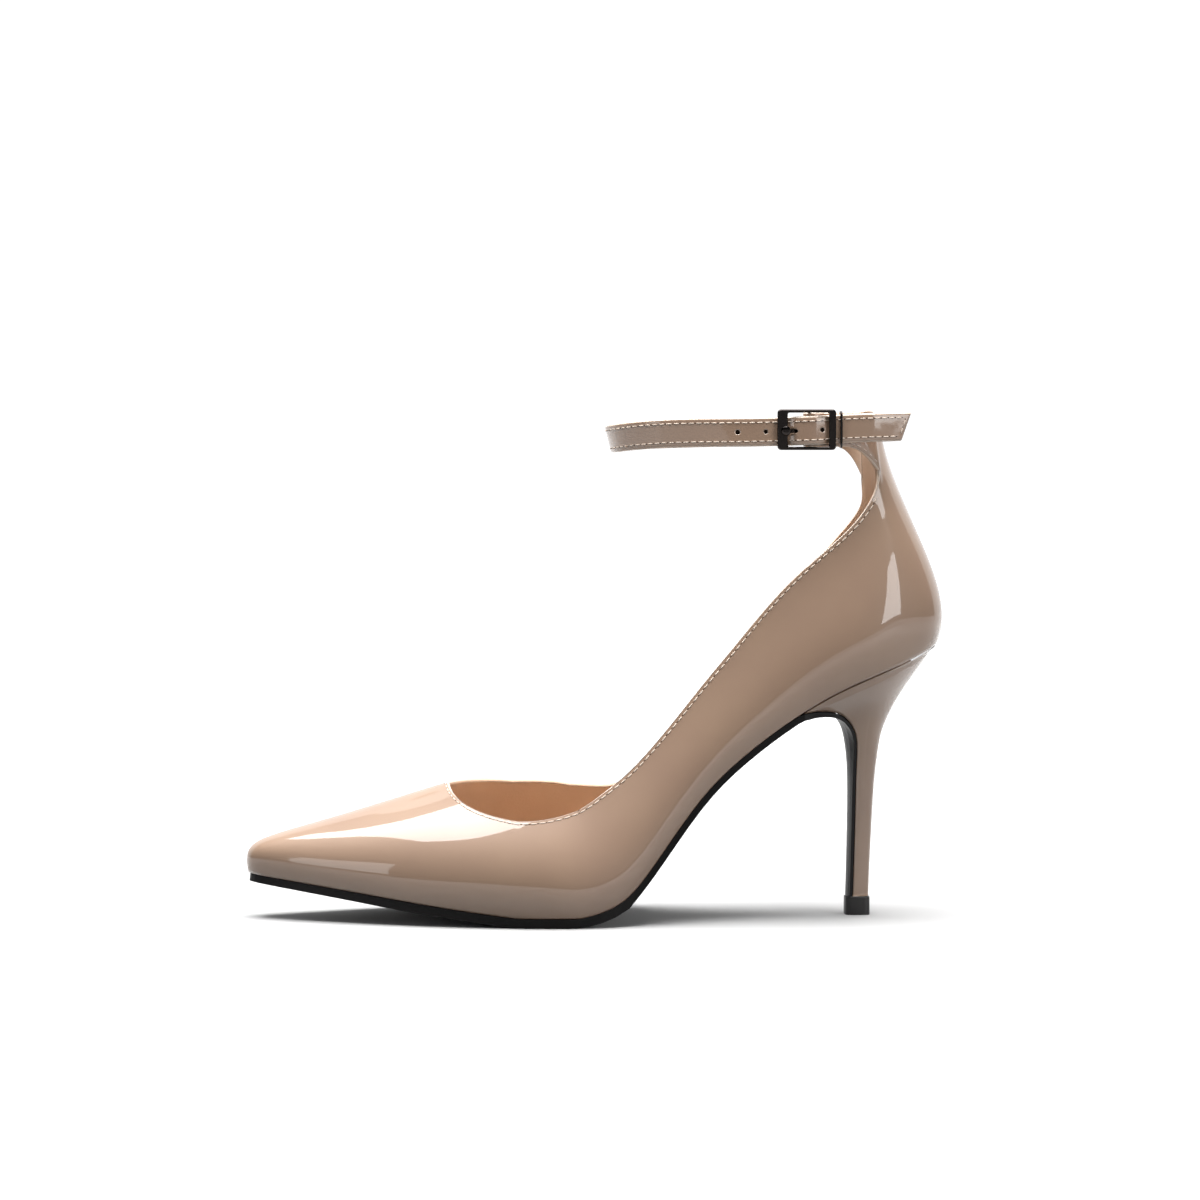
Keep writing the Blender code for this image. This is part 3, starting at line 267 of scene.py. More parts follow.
def foot_loop(steps, inset=0.0):
    """Plan of the edge where the upper meets the sole, moved in along its normals."""
    loop = read_loop(steps)
    plan = np.stack((along_to_x(loop["foot_along"]), loop["foot_out"] * BALL_WIDTH), axis=-1)
    step = np.roll(plan, -1, axis=0) - np.roll(plan, 1, axis=0)
    return plan - inset * unit(np.stack((-step[:, 1], step[:, 0]), axis=-1))


def wall_grid(round_steps, rises):
    """Outer face: each wall is a fourth-degree curve from foot to top, read at the rises."""
    loop = read_loop(round_steps)
    plan = foot_loop(round_steps)
    foot = np.column_stack((plan, bottom_height(plan[:, 0]) + GAP))
    top_x = along_to_x(loop["top_along"])
    top = np.column_stack((top_x, loop["top_out"] * BALL_WIDTH,
                           bottom_height(top_x) + loop["top_high"] * BACK_RISE))
    out = np.column_stack(((plan - foot_loop(round_steps, 1.0)), np.zeros(round_steps)))
    controls = [foot]
    for share, name in ((0.25, "belly"), (0.50, "waist"), (0.75, "neck")):
        shift = loop[name + "_out"][:, None] * BALL_WIDTH * out
        shift = shift + loop[name + "_up"][:, None] * BALL_WIDTH * np.array((0.0, 0.0, 1.0))
        shift[:, 0] -= PUSH_SHARES[name] * loop["push"] * BALL_WIDTH
        controls.append(foot + share * (top - foot) + shift)
    controls.append(top)
    t = np.asarray(rises)[..., None] if np.ndim(rises) > 1 else np.asarray(rises)[:, None, None]
    return sum(w * t ** i * (1.0 - t) ** (4 - i) * controls[i] for i, w in enumerate((1, 4, 6, 4, 1)))


def grid_normals(grid):
    """Outward normals of a grid whose rows run foot to top and whose columns go round."""
    across = np.roll(grid, -1, axis=1) - np.roll(grid, 1, axis=1)
    return unit(np.cross(np.gradient(grid, axis=0), across))


def ring_quads(rings, points, closed_path=False):
    """Quads between successive rings of points, each ring a closed loop."""
    count = rings if closed_path else rings - 1
    r, p = np.meshgrid(np.arange(count), np.arange(points), indexing="ij")
    q = (p + 1) % points
    s = (r + 1) % rings
    return np.stack((r * points + p, r * points + q, s * points + q, s * points + p), -1).reshape(-1, 4)


def make_piece(name, points, faces, materials, slots=None, marks=None):
    """A mesh piece from arrays: faces by slot, and one float attribute for each named mark."""
    mesh = bpy.data.meshes.new(name)
    mesh.from_pydata(np.asarray(points, float).reshape(-1, 3).tolist(), [],
                     [tuple(int(i) for i in face) for face in faces])
    for material in materials:
        mesh.materials.append(material)
    if slots is not None:
        mesh.polygons.foreach_set("material_index", np.asarray(slots, np.int32))
    for mark, values in (marks or {}).items():
        attribute = mesh.attributes.new(mark, "FLOAT", "POINT")
        attribute.data.foreach_set("value", np.asarray(values, np.float32))
    mesh.shade_smooth()
    mesh.update()
    piece = bpy.data.objects.new(name, mesh)
    scene.collection.objects.link(piece)
    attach(piece, "root")
    return piece


def recalculate(piece, merge=0.0):
    """Join points closer than the merge distance and turn all faces outwards."""
    build = bmesh.new()
    build.from_mesh(piece.data)
    if merge:
        bmesh.ops.remove_doubles(build, verts=build.verts, dist=merge)
    bmesh.ops.recalc_face_normals(build, faces=build.faces)
    if build.calc_volume(signed=True) < 0.0:
        bmesh.ops.reverse_faces(build, faces=build.faces)
    build.to_mesh(piece.data)
    build.free()


patent, tree = new_material("patent_leather")
# Patent leather: split hide under a thick clear film, so a warm matt colour below a hard,
# mirror-like coat that is a little wavy where the hide moves under it.
place = add_node(tree, "TexCoord")
edge = add_node(tree, "Attribute", attribute_name="edge_distance")
hide = add_node(tree, "TexNoise", {"Vector": place.outputs["Object"], "Scale": 38.0, "Detail": 3.0})
tone = add_node(tree, "ValToRGB", {"Fac": hide.outputs["Fac"]})
tone.color_ramp.elements[0].position = 0.30
tone.color_ramp.elements[0].color = colour("9C806C")
tone.color_ramp.elements[1].position = 0.72
tone.color_ramp.elements[1].color = colour("A38771")
# Painted highlight: where edge_distance is under 0.35 the colour is a pale cream, fading into the leather's
# tone by 0.6; this puts it on the topline's folded lip and the strap's and tab's turned edges
edge_highlight = add_node(tree, "MapRange", {"Value": edge.outputs["Fac"], "From Min": 0.35, "From Max": 0.60})
body = add_node(tree, "Mix", {"Factor": edge_highlight.outputs["Result"]}, data_type="RGBA")
body.inputs["A"].default_value = colour("DCC9B7")
tree.links.new(tone.outputs["Color"], body.inputs["B"])
# Film waves about 6 mm apart and hide pores about 0.5 mm apart, both shallow
waves = add_node(tree, "TexNoise", {"Vector": place.outputs["Object"], "Scale": 160.0, "Detail": 1.0})
pores = add_node(tree, "TexNoise", {"Vector": place.outputs["Object"], "Scale": 1800.0, "Detail": 1.0})
film = add_node(tree, "Bump", {"Height": waves.outputs["Fac"], "Distance": 0.0001, "Strength": 0.12})
hide_bump = add_node(tree, "Bump", {"Height": pores.outputs["Fac"], "Distance": 0.00005, "Strength": 0.20,
                                    "Normal": film.outputs["Normal"]})
leather = add_node(tree, "BsdfPrincipled", {
    "Base Color": body.outputs["Result"], "Roughness": 0.50, "IOR": 1.4, "Coat Weight": 1.0,
    "Coat Roughness": 0.03, "Coat IOR": 1.5, "Normal": hide_bump.outputs["Normal"],
    "Coat Normal": film.outputs["Normal"]})
add_node(tree, "OutputMaterial", {"Surface": leather.outputs[0]})

lining, tree = new_material("lining_leather")
# Lining pigskin: soft, dry and evenly grained, with a faint nap
place = add_node(tree, "TexCoord")
grain = add_node(tree, "TexVoronoi", {"Vector": place.outputs["Object"], "Scale": 1100.0})
cloud = add_node(tree, "TexNoise", {"Vector": place.outputs["Object"], "Scale": 60.0, "Detail": 4.0})
tone = add_node(tree, "ValToRGB", {"Fac": cloud.outputs["Fac"]})
tone.color_ramp.elements[0].position = 0.25
tone.color_ramp.elements[0].color = colour("BE9E83")
tone.color_ramp.elements[1].position = 0.75
tone.color_ramp.elements[1].color = colour("C9AA8F")
relief = add_node(tree, "Bump", {"Height": grain.outputs["Distance"], "Distance": 0.0002, "Strength": 0.25})
nap = add_node(tree, "BsdfPrincipled", {
    "Base Color": tone.outputs["Color"], "Roughness": 0.62, "Sheen Weight": 0.15, "Sheen Roughness": 0.5,
    "Normal": relief.outputs["Normal"]})
add_node(tree, "OutputMaterial", {"Surface": nap.outputs[0]})

ROUND_STEPS = 576
RISE_STEPS = 64
LIP = 0.00045
LIP_STEPS = 9
RIM_BUNCHING = 1.25
RIM_MARK = 0.25
outside = wall_grid(ROUND_STEPS, 1.0 - (1.0 - np.linspace(0.0, 1.0, RISE_STEPS)) ** RIM_BUNCHING)
inside = outside - WALL * grid_normals(outside)
inside[0, :, :2] = foot_loop(ROUND_STEPS, WALL)
inside[0, :, 2] = bottom_height(inside[0, :, 0]) + GAP
rim = outside[-1].copy()
rim_inside = inside[-1].copy()
rim_normal = unit(rim - rim_inside)
rim_along = unit(np.roll(rim, -1, axis=0) - np.roll(rim, 1, axis=0))
rim_up = unit(np.cross(rim_along, rim_normal))
wall_up = unit(outside[-1] - outside[-3])
rim_up *= np.sign((rim_up * wall_up).sum(axis=1, keepdims=True))
slope = np.clip((rim_up * wall_up).sum(axis=1), 0.15, 1.0)
outside[-1] -= LIP * rim_up
inside[-1] -= LIP * rim_up
lip_turn = np.linspace(0.0, math.pi, LIP_STEPS)[1:-1, None, None]
lip = (outside[-1] + inside[-1]) / 2.0 + np.cos(lip_turn) * (outside[-1] - inside[-1]) / 2.0
lip = lip + np.sin(lip_turn) * LIP * rim_up
shell = np.concatenate((outside, lip, inside[::-1]))
walked = np.linalg.norm(np.diff(outside, axis=0), axis=2)[::-1].cumsum(axis=0)[::-1]
from_edge = np.concatenate((walked, np.zeros((1, ROUND_STEPS)))) * slope * 1000.0
# The lip's marks of 0 and the rim row's RIM_MARK of 0.25 put the painted cream highlight on the fold
marks = np.concatenate((from_edge + RIM_MARK, np.zeros((len(lip), ROUND_STEPS)), from_edge[::-1]))
quads = ring_quads(len(shell), ROUND_STEPS, closed_path=True)
ring_of_face = np.repeat(np.arange(len(shell)), ROUND_STEPS)
lined = ring_of_face >= RISE_STEPS + len(lip) // 2
shell_upper = make_piece("upper_shell", shell, quads, (patent, lining), lined,
                         {"edge_distance": marks.ravel()})
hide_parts("upper")

# Insole: sock of the same tan leather, glued over its board. Its edge is pressed against the
# lining all round.
INSOLE_THICKNESS = 0.0020
SOCK_ACROSS = 12
low_rows = wall_grid(ROUND_STEPS, np.array([0.0, 0.03]))
climb = (low_rows[1, :, 2] - low_rows[0, :, 2]) / 0.03
edge_rows = wall_grid(ROUND_STEPS, np.array([0.5, 1.0, 1.5])[:, None] * (INSOLE_THICKNESS / climb)[None, :])
sock_edge = (edge_rows - (WALL - GAP) * grid_normals(edge_rows))[1]
board_edge = np.column_stack((foot_loop(ROUND_STEPS, WALL), np.zeros(ROUND_STEPS)))
outer_half = np.arange(ROUND_STEPS // 2 + 1)
share = np.linspace(0.0, 1.0, SOCK_ACROSS)[None, :, None]
layers = []
for edge_line, height in ((sock_edge, INSOLE_THICKNESS), (board_edge, 0.0)):
    layer = (1.0 - share) * edge_line[outer_half][:, None] + share * edge_line[-outer_half][:, None]
    layer[..., 2] = bottom_height(layer[..., 0]) + GAP + height
    layers.append(layer)
rungs = np.concatenate((layers[0], layers[1][:, ::-1]), axis=1)
faces = [list(face) for face in ring_quads(len(rungs), 2 * SOCK_ACROSS)]
sock = make_piece("sock_leather", rungs, faces, (lining,))
recalculate(sock, merge=0.00001)
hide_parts("insole")

# Heel: tall slim plastic core covered in the same patent leather, whose seam runs down the
# edge of the breast. Its seat is cupped to the sole.
SEAT_LENGTH = 0.0478
LIFT_LENGTH = 0.0084
LIFT_WIDTH = 0.0088
LIFT_HEIGHT = 0.0060
LIFT_MARGIN = 0.0003
BREAST_FLAP = 0.0011
BREAST_BOW = 0.0022
CUP_SHARE = 0.1
SOLE_INSET = 0.0005
POINT_TRIM = 0.0004
TIP_ROUNDNESS = 0.62
TIP_FULLNESS = 0.9
TIP_POINT = 0.12
PLAN_STEPS = 1440
HEEL_LEVELS = 110
BREAST_POINTS = 25
TURN_POINTS = 40

# Levels from the seat to the lift, in shares of the way from the lift's size to the seat's
HEEL_COLUMNS = ("width", "back", "front", "bow", "back_high", "front_high")
HEEL_ROWS = np.array([
    (1.000, 1.000, 1.000, 0.00, 1.000, 1.000),
    (0.916, 0.890, 0.760, -0.40, 0.967, 1.007),
    (0.730, 0.690, 0.452, -0.25, 0.893, 1.003),
    (0.520, 0.490, 0.240, 0.20, 0.816, 0.975),
    (0.345, 0.318, 0.105, 0.70, 0.736, 0.920),
    (0.228, 0.196, 0.040, 1.00, 0.657, 0.851),
    (0.140, 0.137, -0.006, 0.80, 0.577, 0.763),
    (0.082, 0.087, -0.035, 0.50, 0.466, 0.629),
    (0.047, 0.050, -0.035, 0.40, 0.313, 0.422),
    (0.018, 0.018, -0.018, 0.40, 0.137, 0.184),
    (0.000, 0.000, 0.000, 0.40, 0.000, 0.000),
])


def edges_at(inset, x):
    """Y of the outer and inner edge of the inset plan at each X."""
    plan = foot_loop(PLAN_STEPS, inset)
    plan = np.roll(plan, -np.argmax(plan[:, 0]), axis=0)
    toe = np.argmin(plan[:, 0])
    outer = plan[:toe + 1][::-1]
    inner = plan[toe:]
    return np.interp(x, outer[:, 0], outer[:, 1]), np.interp(x, inner[:, 0], inner[:, 1])


def heel_rings(levels):
    """Rings from seat to lift: each is a mix of the seat's and the lift's plan by the table's
    shares, tilted from the breast's height to the back's and cupped to the sole at the seat."""
    across = np.linspace(-1.0, 1.0, BREAST_POINTS)
    seat_back = foot_loop(PLAN_STEPS, SOLE_INSET)[:, 0].max() - POINT_TRIM
    seat_front = HEEL_OVERHANG - SEAT_LENGTH
    turn = np.linspace(0.0, 1.0, TURN_POINTS)[1:] * math.pi / 2.0
    back_x = seat_front + (seat_back - seat_front) * np.sin(turn)
    front_edges = edges_at(SOLE_INSET, np.array([seat_front]))
    back_outer, back_inner = edges_at(SOLE_INSET, back_x)
    seat_x = np.concatenate((np.full(BREAST_POINTS, seat_front), back_x, back_x[::-1]))
    breast = np.interp(across, (-1.0, 1.0), (front_edges[0][0], front_edges[1][0]))
    seat_y = np.concatenate((breast, back_inner, back_outer[::-1]))
    tip_front = LIFT_MARGIN + BREAST_FLAP + GAP - LIFT_LENGTH / 2.0
    tip_back = LIFT_LENGTH / 2.0 - LIFT_MARGIN
    tip_half = LIFT_WIDTH / 2.0 - LIFT_MARGIN
    tip_side = tip_half * np.maximum(np.cos(turn), 0.0) ** TIP_ROUNDNESS
    tip_side[-1] = tip_half * TIP_POINT
    tip_turn = tip_front + (tip_back - tip_front) * np.sin(turn) ** TIP_FULLNESS
    tip_x = np.concatenate((np.full(BREAST_POINTS, tip_front), tip_turn, tip_turn[::-1]))
    tip_y = np.concatenate((across * tip_half, tip_side, -tip_side[::-1]))
    row = dict(zip(HEEL_COLUMNS, smooth_curve(np.linspace(0.0, 1.0, len(HEEL_ROWS)), HEEL_ROWS, levels).T))
    row = {name: values[:, None] for name, values in row.items()}
    back = tip_back + row["back"] * (seat_back - tip_back)
    front = tip_front + row["front"] * (seat_front - tip_front)
    seat_part = (seat_x - seat_front) / (seat_back - seat_front)
    tip_part = (tip_x - tip_front) / (tip_back - tip_front)
    part = tip_part + row["width"] * (seat_part - tip_part)
    y = tip_y + row["width"] * (seat_y - tip_y)
    bow = np.tile(np.append(across ** 2, np.zeros(2 * len(turn))), (len(levels), 1))
    bow[:, BREAST_POINTS:] = np.clip(1.0 - 2.0 * part[:, BREAST_POINTS:], 0.0, 1.0)
    x = front + part * (back - front) + row["bow"] * BREAST_BOW * bow
    low = LIFT_HEIGHT + GAP
    seat_z = bottom_height(seat_front + part * (seat_back - seat_front)) - GAP
    front_z = low + row["front_high"] * (float(bottom_height(seat_front)) - GAP - low)
    back_z = low + row["back_high"] * (float(bottom_height(seat_back)) - GAP - low)
    flat_z = front_z + part * (back_z - front_z)
    cupped = np.maximum(0.0, 1.0 - levels / CUP_SHARE)[:, None]
    return np.stack((x, y, flat_z + cupped * (seat_z - flat_z)), axis=-1)


rings = heel_rings(np.linspace(0.0, 1.0, HEEL_LEVELS))
size = rings.shape[1]
faces = [list(face) for face in ring_quads(HEEL_LEVELS, size)]
faces.append([(HEEL_LEVELS - 1) * size + p for p in range(size)][::-1])
faces.append(list(range(BREAST_POINTS))[::-1] + [size - 1, BREAST_POINTS])
faces += [[BREAST_POINTS + r + 1, BREAST_POINTS + r, size - 1 - r, size - 2 - r]
          for r in range((size - BREAST_POINTS) // 2 - 1)]
covered_heel = make_piece("covered_heel", rings, faces, (patent,), marks={
    "edge_distance": np.full(rings.shape[0] * size, 5.0)})
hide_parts("heel")

# Ankle strap and buckle tab: two layers of leather, patent outside and lining inside, folded
# and stitched along both edges. They grow out of the two front edges of the back.
STRAP_LEVEL = 0.1629
STRAP_WIDTH = 0.0080
STRAP_THICKNESS = 0.0016
STRAP_REACH = 0.0842
STRAP_SPREAD = 0.0262
STRAP_TAIL = 0.0134
TAB_WIDTH = 0.0102
TAB_THICKNESS = 0.0011
TAB_FOLD = 0.0060
BAR_PLAN = np.array((-0.0191, -0.0249))
CENTRE_BAR = 0.0011
HOLE_WIDTH = 0.0015
HOLE_PITCH = 0.0093
PRONG_REACH = 0.0079

# Middle lines as shares of the strap's reach, tail, spread and width
BAND_COLUMNS = ("ahead", "tail", "out", "high", "wide", "lean", "slant")
STRAP_ROWS = (
    (0.000, 0.270, 0.628, -0.33, 1.92, 0.00, -0.24),
    (0.000, 0.245, 0.672, -0.26, 1.82, 0.00, -0.22),
    (0.000, 0.120, 0.748, -0.10, 1.56, -0.06, -0.12),
    (0.030, 0.000, 0.822, 0.02, 1.28, -0.08, -0.03),
    (0.095, 0.000, 0.890, 0.05, 1.07, -0.03, 0.00),
    (0.180, 0.000, 0.930, 0.03, 1.00, 0.00, 0.00),
    (0.300, 0.000, 0.975, 0.00, 1.00, 0.00, 0.00),
    (0.500, 0.000, 0.985, -0.05, 1.00, 0.00, 0.00),
    (0.700, 0.000, 0.900, -0.10, 1.00, 0.05, 0.00),
    (0.860, 0.000, 0.690, -0.17, 1.00, 0.12, 0.00),
    (0.960, 0.000, 0.380, -0.27, 1.00, 0.20, 0.00),
    (0.991, 0.000, 0.000, -0.32, 1.00, 0.25, 0.00),
    (0.960, 0.000, -0.400, -0.25, 1.00, 0.18, 0.00),
    (0.860, 0.000, -0.720, -0.13, 1.00, 0.08, 0.00),
    (0.700, 0.000, -0.925, -0.05, 1.00, 0.03, 0.00),
    (0.500, 0.000, -0.990, -0.03, 1.00, 0.00, 0.00),
    (0.400, 0.000, -0.998, -0.01, 1.00, 0.00, 0.00),
    (0.345, 0.000, -0.992, 0.00, 1.00, 0.00, 0.00),
    (0.312, 0.000, -0.998, 0.01, 1.00, 0.00, 0.00),
    (0.284, 0.000, -1.040, 0.02, 1.00, 0.00, 0.00),
    (0.256, 0.000, -1.070, 0.03, 1.00, 0.00, 0.00),
    (0.228, 0.000, -1.074, 0.04, 1.00, 0.00, 0.00),
    (0.200, 0.000, -1.062, 0.05, 1.00, 0.00, 0.00),
    (0.174, 0.000, -1.025, 0.07, 1.00, 0.00, 0.00),
    (0.148, 0.000, -0.993, 0.08, 1.00, 0.00, 0.00),
    (0.118, 0.000, -0.988, 0.10, 1.00, 0.00, 0.00),
    (0.080, 0.000, -0.982, 0.12, 1.00, 0.00, 0.00),
    (0.040, 0.000, -0.968, 0.14, 1.00, 0.00, 0.00),
    (0.000, 0.300, -0.915, 0.17, 1.00, 0.00, 0.10),
    (0.000, 1.000, -0.810, 0.20, 1.00, 0.00, 0.38),
)
TAB_ROWS = (
    (0.000, 0.270, -0.628, -0.26, 1.51, 0.00, -0.24),
    (0.000, 0.245, -0.672, -0.21, 1.44, 0.00, -0.22),
    (0.000, 0.120, -0.735, -0.08, 1.28, -0.06, -0.12),
    (0.100, 0.000, -0.800, 0.01, 1.12, -0.08, -0.03),
    (0.270, 0.000, -0.868, 0.05, 1.03, -0.04, 0.00),
    (0.440, 0.000, -0.916, 0.06, 1.00, 0.00, 0.00),
    (0.620, 0.000, -0.936, 0.06, 1.00, 0.00, 0.00),
    (0.780, 0.000, -0.962, 0.06, 1.00, 0.00, 0.00),
    (0.900, 0.000, -0.996, 0.06, 1.00, 0.00, 0.00),
)
ACROSS_STEPS = 12
LINE_STEPS = 900
WING_STEPS = 36
WING_OVERLAP = 0.0009
WING_LIFT = 0.00004
WING_LEAN = 0.8
WING_LOW = 0.106
WING_HIGH = 0.066
WING_REACH = 0.0045
EDGE_STEPS = 6
FACE_MARK = 2.0
# Mark of the turned edges: low enough to give them the painted cream highlight
EDGE_HIGHLIGHT_MARK = 0.3


def band_line(rows, reach, width):
    """Fine middle line of a band from its table, as x, y, z, width, lean and slant."""
    values = smooth_curve(np.linspace(0.0, 1.0, len(rows)), np.array(rows),
                          np.linspace(0.0, 1.0, LINE_STEPS))
    row = dict(zip(BAND_COLUMNS, values.T))
    x = row["tail"] * STRAP_TAIL - row["ahead"] * reach
    return np.column_stack((x, row["out"] * STRAP_SPREAD, STRAP_LEVEL + row["high"] * width,
                            row["wide"] * width, row["lean"], row["slant"]))


def spaced(line, pitch):
    """The same line with its points evenly spaced, about a pitch apart."""
    walked = np.append(0.0, np.cumsum(np.linalg.norm(np.diff(line[:, :3], axis=0), axis=1)))
    at = np.linspace(0.0, walked[-1], max(2, int(round(walked[-1] / pitch)) + 1))
    return np.column_stack([np.interp(at, walked, values) for values in line.T])


def band_faces(line, thickness, outward):
    """Outer and inner face of a band as grids: middle line plus half its thickness to a side,
    and across its width from its low edge to its high edge."""
    along = unit(np.gradient(line[:, :3], axis=0) * (1.0, 1.0, 0.0))
    across = np.cross(along, (0.0, 0.0, 1.0))
    up = unit(line[:, 4:5] * across + (0.0, 0.0, 1.0))
    side = np.cross(along, up) * outward
    reach = np.linspace(-0.5, 0.5, ACROSS_STEPS)[None, :, None] * line[:, 3][:, None, None]
    middle = line[:, None, :3] + reach * (up + line[:, 5:6] * along)[:, None, :]
    return middle + thickness / 2.0 * side[:, None, :], middle - thickness / 2.0 * side[:, None, :]


def join_to_rim(outer, inner, low, high, start):
    """Wing between the rim and the band: cubic curves that leave the rim square to it and meet
    the band at its start row along its own direction."""
    at = np.linspace(low, high, ACROSS_STEPS) * ROUND_STEPS
    places = np.arange(-8, ROUND_STEPS + 8)
    wrap = places % ROUND_STEPS

    def read(values):
        return np.stack([np.interp(at, places, values[wrap, k]) for k in range(3)], axis=-1)

    upward = WING_LEAN * np.linspace(1.0, 0.0, ACROSS_STEPS)[:, None] * np.array((0.0, 0.0, 1.0))
    leave = unit(read(rim_up) + upward)
    faces = []
    for face, edge_points, lift in ((outer, read(rim), WING_LIFT), (inner, read(rim_inside), -WING_LIFT)):
        begin = edge_points - WING_OVERLAP * read(rim_up) + lift * read(rim_normal)
        end = face[start]
        arrive = unit(face[start + 1] - face[start])
        span = np.linalg.norm(end - begin, axis=-1, keepdims=True)
        s = np.linspace(0.0, 1.0, WING_STEPS)[:-1, None, None]
        wing = ((2 * s ** 3 - 3 * s ** 2 + 1) * begin + (s ** 3 - 2 * s ** 2 + s) * span * leave
                + (3 * s ** 2 - 2 * s ** 3) * end + (s ** 3 - s ** 2) * span * arrive)
        faces.append(np.concatenate((wing, face[start:])))
    return faces


def band_shell(name, outer, inner, materials):
    """Closed band from its two faces, its edges turned over in half circles."""
    turn = np.linspace(0.0, math.pi, EDGE_STEPS + 2)[1:-1, None]
    rings = []
    marks = []
    for sign, end, over in ((1.0, -1, outer), (-1.0, 0, inner)):
        under = inner if sign > 0 else outer
        beyond = unit(outer[:, end] - outer[:, -2 if end else 1])
        middle = (over[:, end] + under[:, end]) / 2.0
        half = (over[:, end] - under[:, end]) / 2.0
        radius = np.linalg.norm(half, axis=-1, keepdims=True)
        arc = (middle[:, None] + np.cos(turn)[None] * half[:, None]
               + np.sin(turn)[None] * (radius * beyond)[:, None])
        rings.append(over if sign > 0 else over[:, ::-1])
        rings.append(arc)
        marks.append(np.full(over.shape[:2], FACE_MARK))
        marks.append(np.full(arc.shape[:2], EDGE_HIGHLIGHT_MARK))
    shell = np.concatenate(rings, axis=1)
    count, size = shell.shape[:2]
    faces = [list(face) for face in ring_quads(count, size)]
    faces += [list(range(size)), list(range((count - 1) * size, count * size))[::-1]]
    slots = np.tile(np.arange(size) >= ACROSS_STEPS + EDGE_STEPS // 2, count - 1)
    below_end = np.tile(np.arange(size) < 2 * ACROSS_STEPS + 3 * EDGE_STEPS // 2, count - 1)
    slots = np.append(slots & below_end, (False, False))
    piece = make_piece(name, shell, faces, materials, slots,
                       {"edge_distance": np.concatenate(marks, 1).ravel()})
    recalculate(piece)
    return piece


strap_line = spaced(band_line(STRAP_ROWS, STRAP_REACH, STRAP_WIDTH), 0.0006)
strap_outer, strap_inner = band_faces(strap_line, STRAP_THICKNESS, 1.0)
strap_start = int(np.argmax(strap_line[:, 0] < -WING_REACH))
strap_outer, strap_inner = join_to_rim(strap_outer, strap_inner, 1.0 - WING_LOW, 1.0 - WING_HIGH,
                                       strap_start)
strap = band_shell("strap_leather", strap_outer, strap_inner, (patent, lining))
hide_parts("ankle_strap")

tab_outer_line = band_line(TAB_ROWS, -BAR_PLAN[0], TAB_WIDTH)
around = (CENTRE_BAR + TAB_THICKNESS) / 2.0 + GAP
turn = np.linspace(0.0, math.pi, 33)
fold_x = np.append(BAR_PLAN[0] - around * np.sin(turn), BAR_PLAN[0] + TAB_FOLD)
beside = np.interp(-fold_x[-1], -tab_outer_line[:, 0], tab_outer_line[:, 1])
fold_y = np.append(BAR_PLAN[1] - around * np.cos(turn), beside + TAB_THICKNESS + GAP)
tab_line = spaced(np.concatenate((tab_outer_line, np.column_stack(
    (fold_x, fold_y, np.tile(tab_outer_line[-1, 2:], (len(fold_x), 1)))))), 0.0004)
tab_outer, tab_inner = band_faces(tab_line, TAB_THICKNESS, -1.0)
tab_start = int(np.argmax(tab_line[:, 0] < -WING_REACH))
tab_outer, tab_inner = join_to_rim(tab_outer, tab_inner, WING_LOW, WING_HIGH, tab_start)
tab = band_shell("tab_leather", tab_outer, tab_inner, (patent, lining))
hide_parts("buckle_tab")

# Punched holes: three round ones and the prong's in the strap, and the prong's slot in the tab's
# fold. Their cut walls are the leather's cut edge darkened near-black with painted shade, and the
# three holes that aren't in use stop short of the inner face on a floor of the same painted shade.
SLOT_WIDTH = 0.0024
PRONG_WIRE = 0.0013
PRONG_HOLE_SHARE = 0.65
HOLE_STEPS = 24
HOLE_STRETCH = 1.7
PUNCH_REACH = 0.0025
BLIND_HOLE_REACH = 0.3
# Painted shade: the near-black brown given to every wall and floor the punches cut
painted_hole_shade, tree = new_material("hole_painted_shade")
place = add_node(tree, "TexCoord")
fibre = add_node(tree, "TexNoise", {"Vector": place.outputs["Object"], "Scale": 3000.0, "Detail": 2.0})
shade = add_node(tree, "ValToRGB", {"Fac": fibre.outputs["Fac"]})
shade.color_ramp.elements[0].color = colour("2A1B13")
shade.color_ramp.elements[1].color = colour("4A3325")
fluff = add_node(tree, "BsdfPrincipled", {"Base Color": shade.outputs["Color"], "Roughness": 0.9})
add_node(tree, "OutputMaterial", {"Surface": fluff.outputs[0]})


def punch(piece, shapes):
    """Cut closed shapes, each a prism from an outline and two depths, out of a piece."""
    cutter_mesh = bpy.data.meshes.new("punch")
    points, faces = [], []
    for outline, near, far in shapes:
        size = len(outline)
        base = len(points)
        for y in (near, far):
            points += [(x, y, z) for x, z in outline]
        faces += [(base + i, base + (i + 1) % size, base + size + (i + 1) % size, base + size + i)
                  for i in range(size)]
        faces += [tuple(range(base, base + size)), tuple(range(base + size, base + 2 * size))]
    cutter_mesh.from_pydata(points, [], faces)
    cutter_mesh.materials.append(painted_hole_shade)
    cutter = bpy.data.objects.new("punch", cutter_mesh)
    scene.collection.objects.link(cutter)
    recalculate(cutter)
    cut_away = piece.modifiers.new("punch", "BOOLEAN")
    cut_away.object = cutter
    cut_away.operation = "DIFFERENCE"
    cut_away.solver = "EXACT"
    cut_away.material_mode = "TRANSFER"
    bpy.context.view_layer.update()
    punched = bpy.data.meshes.new_from_object(piece.evaluated_get(bpy.context.evaluated_depsgraph_get()))
    piece.modifiers.clear()
    piece.data = punched
    bpy.data.objects.remove(cutter)


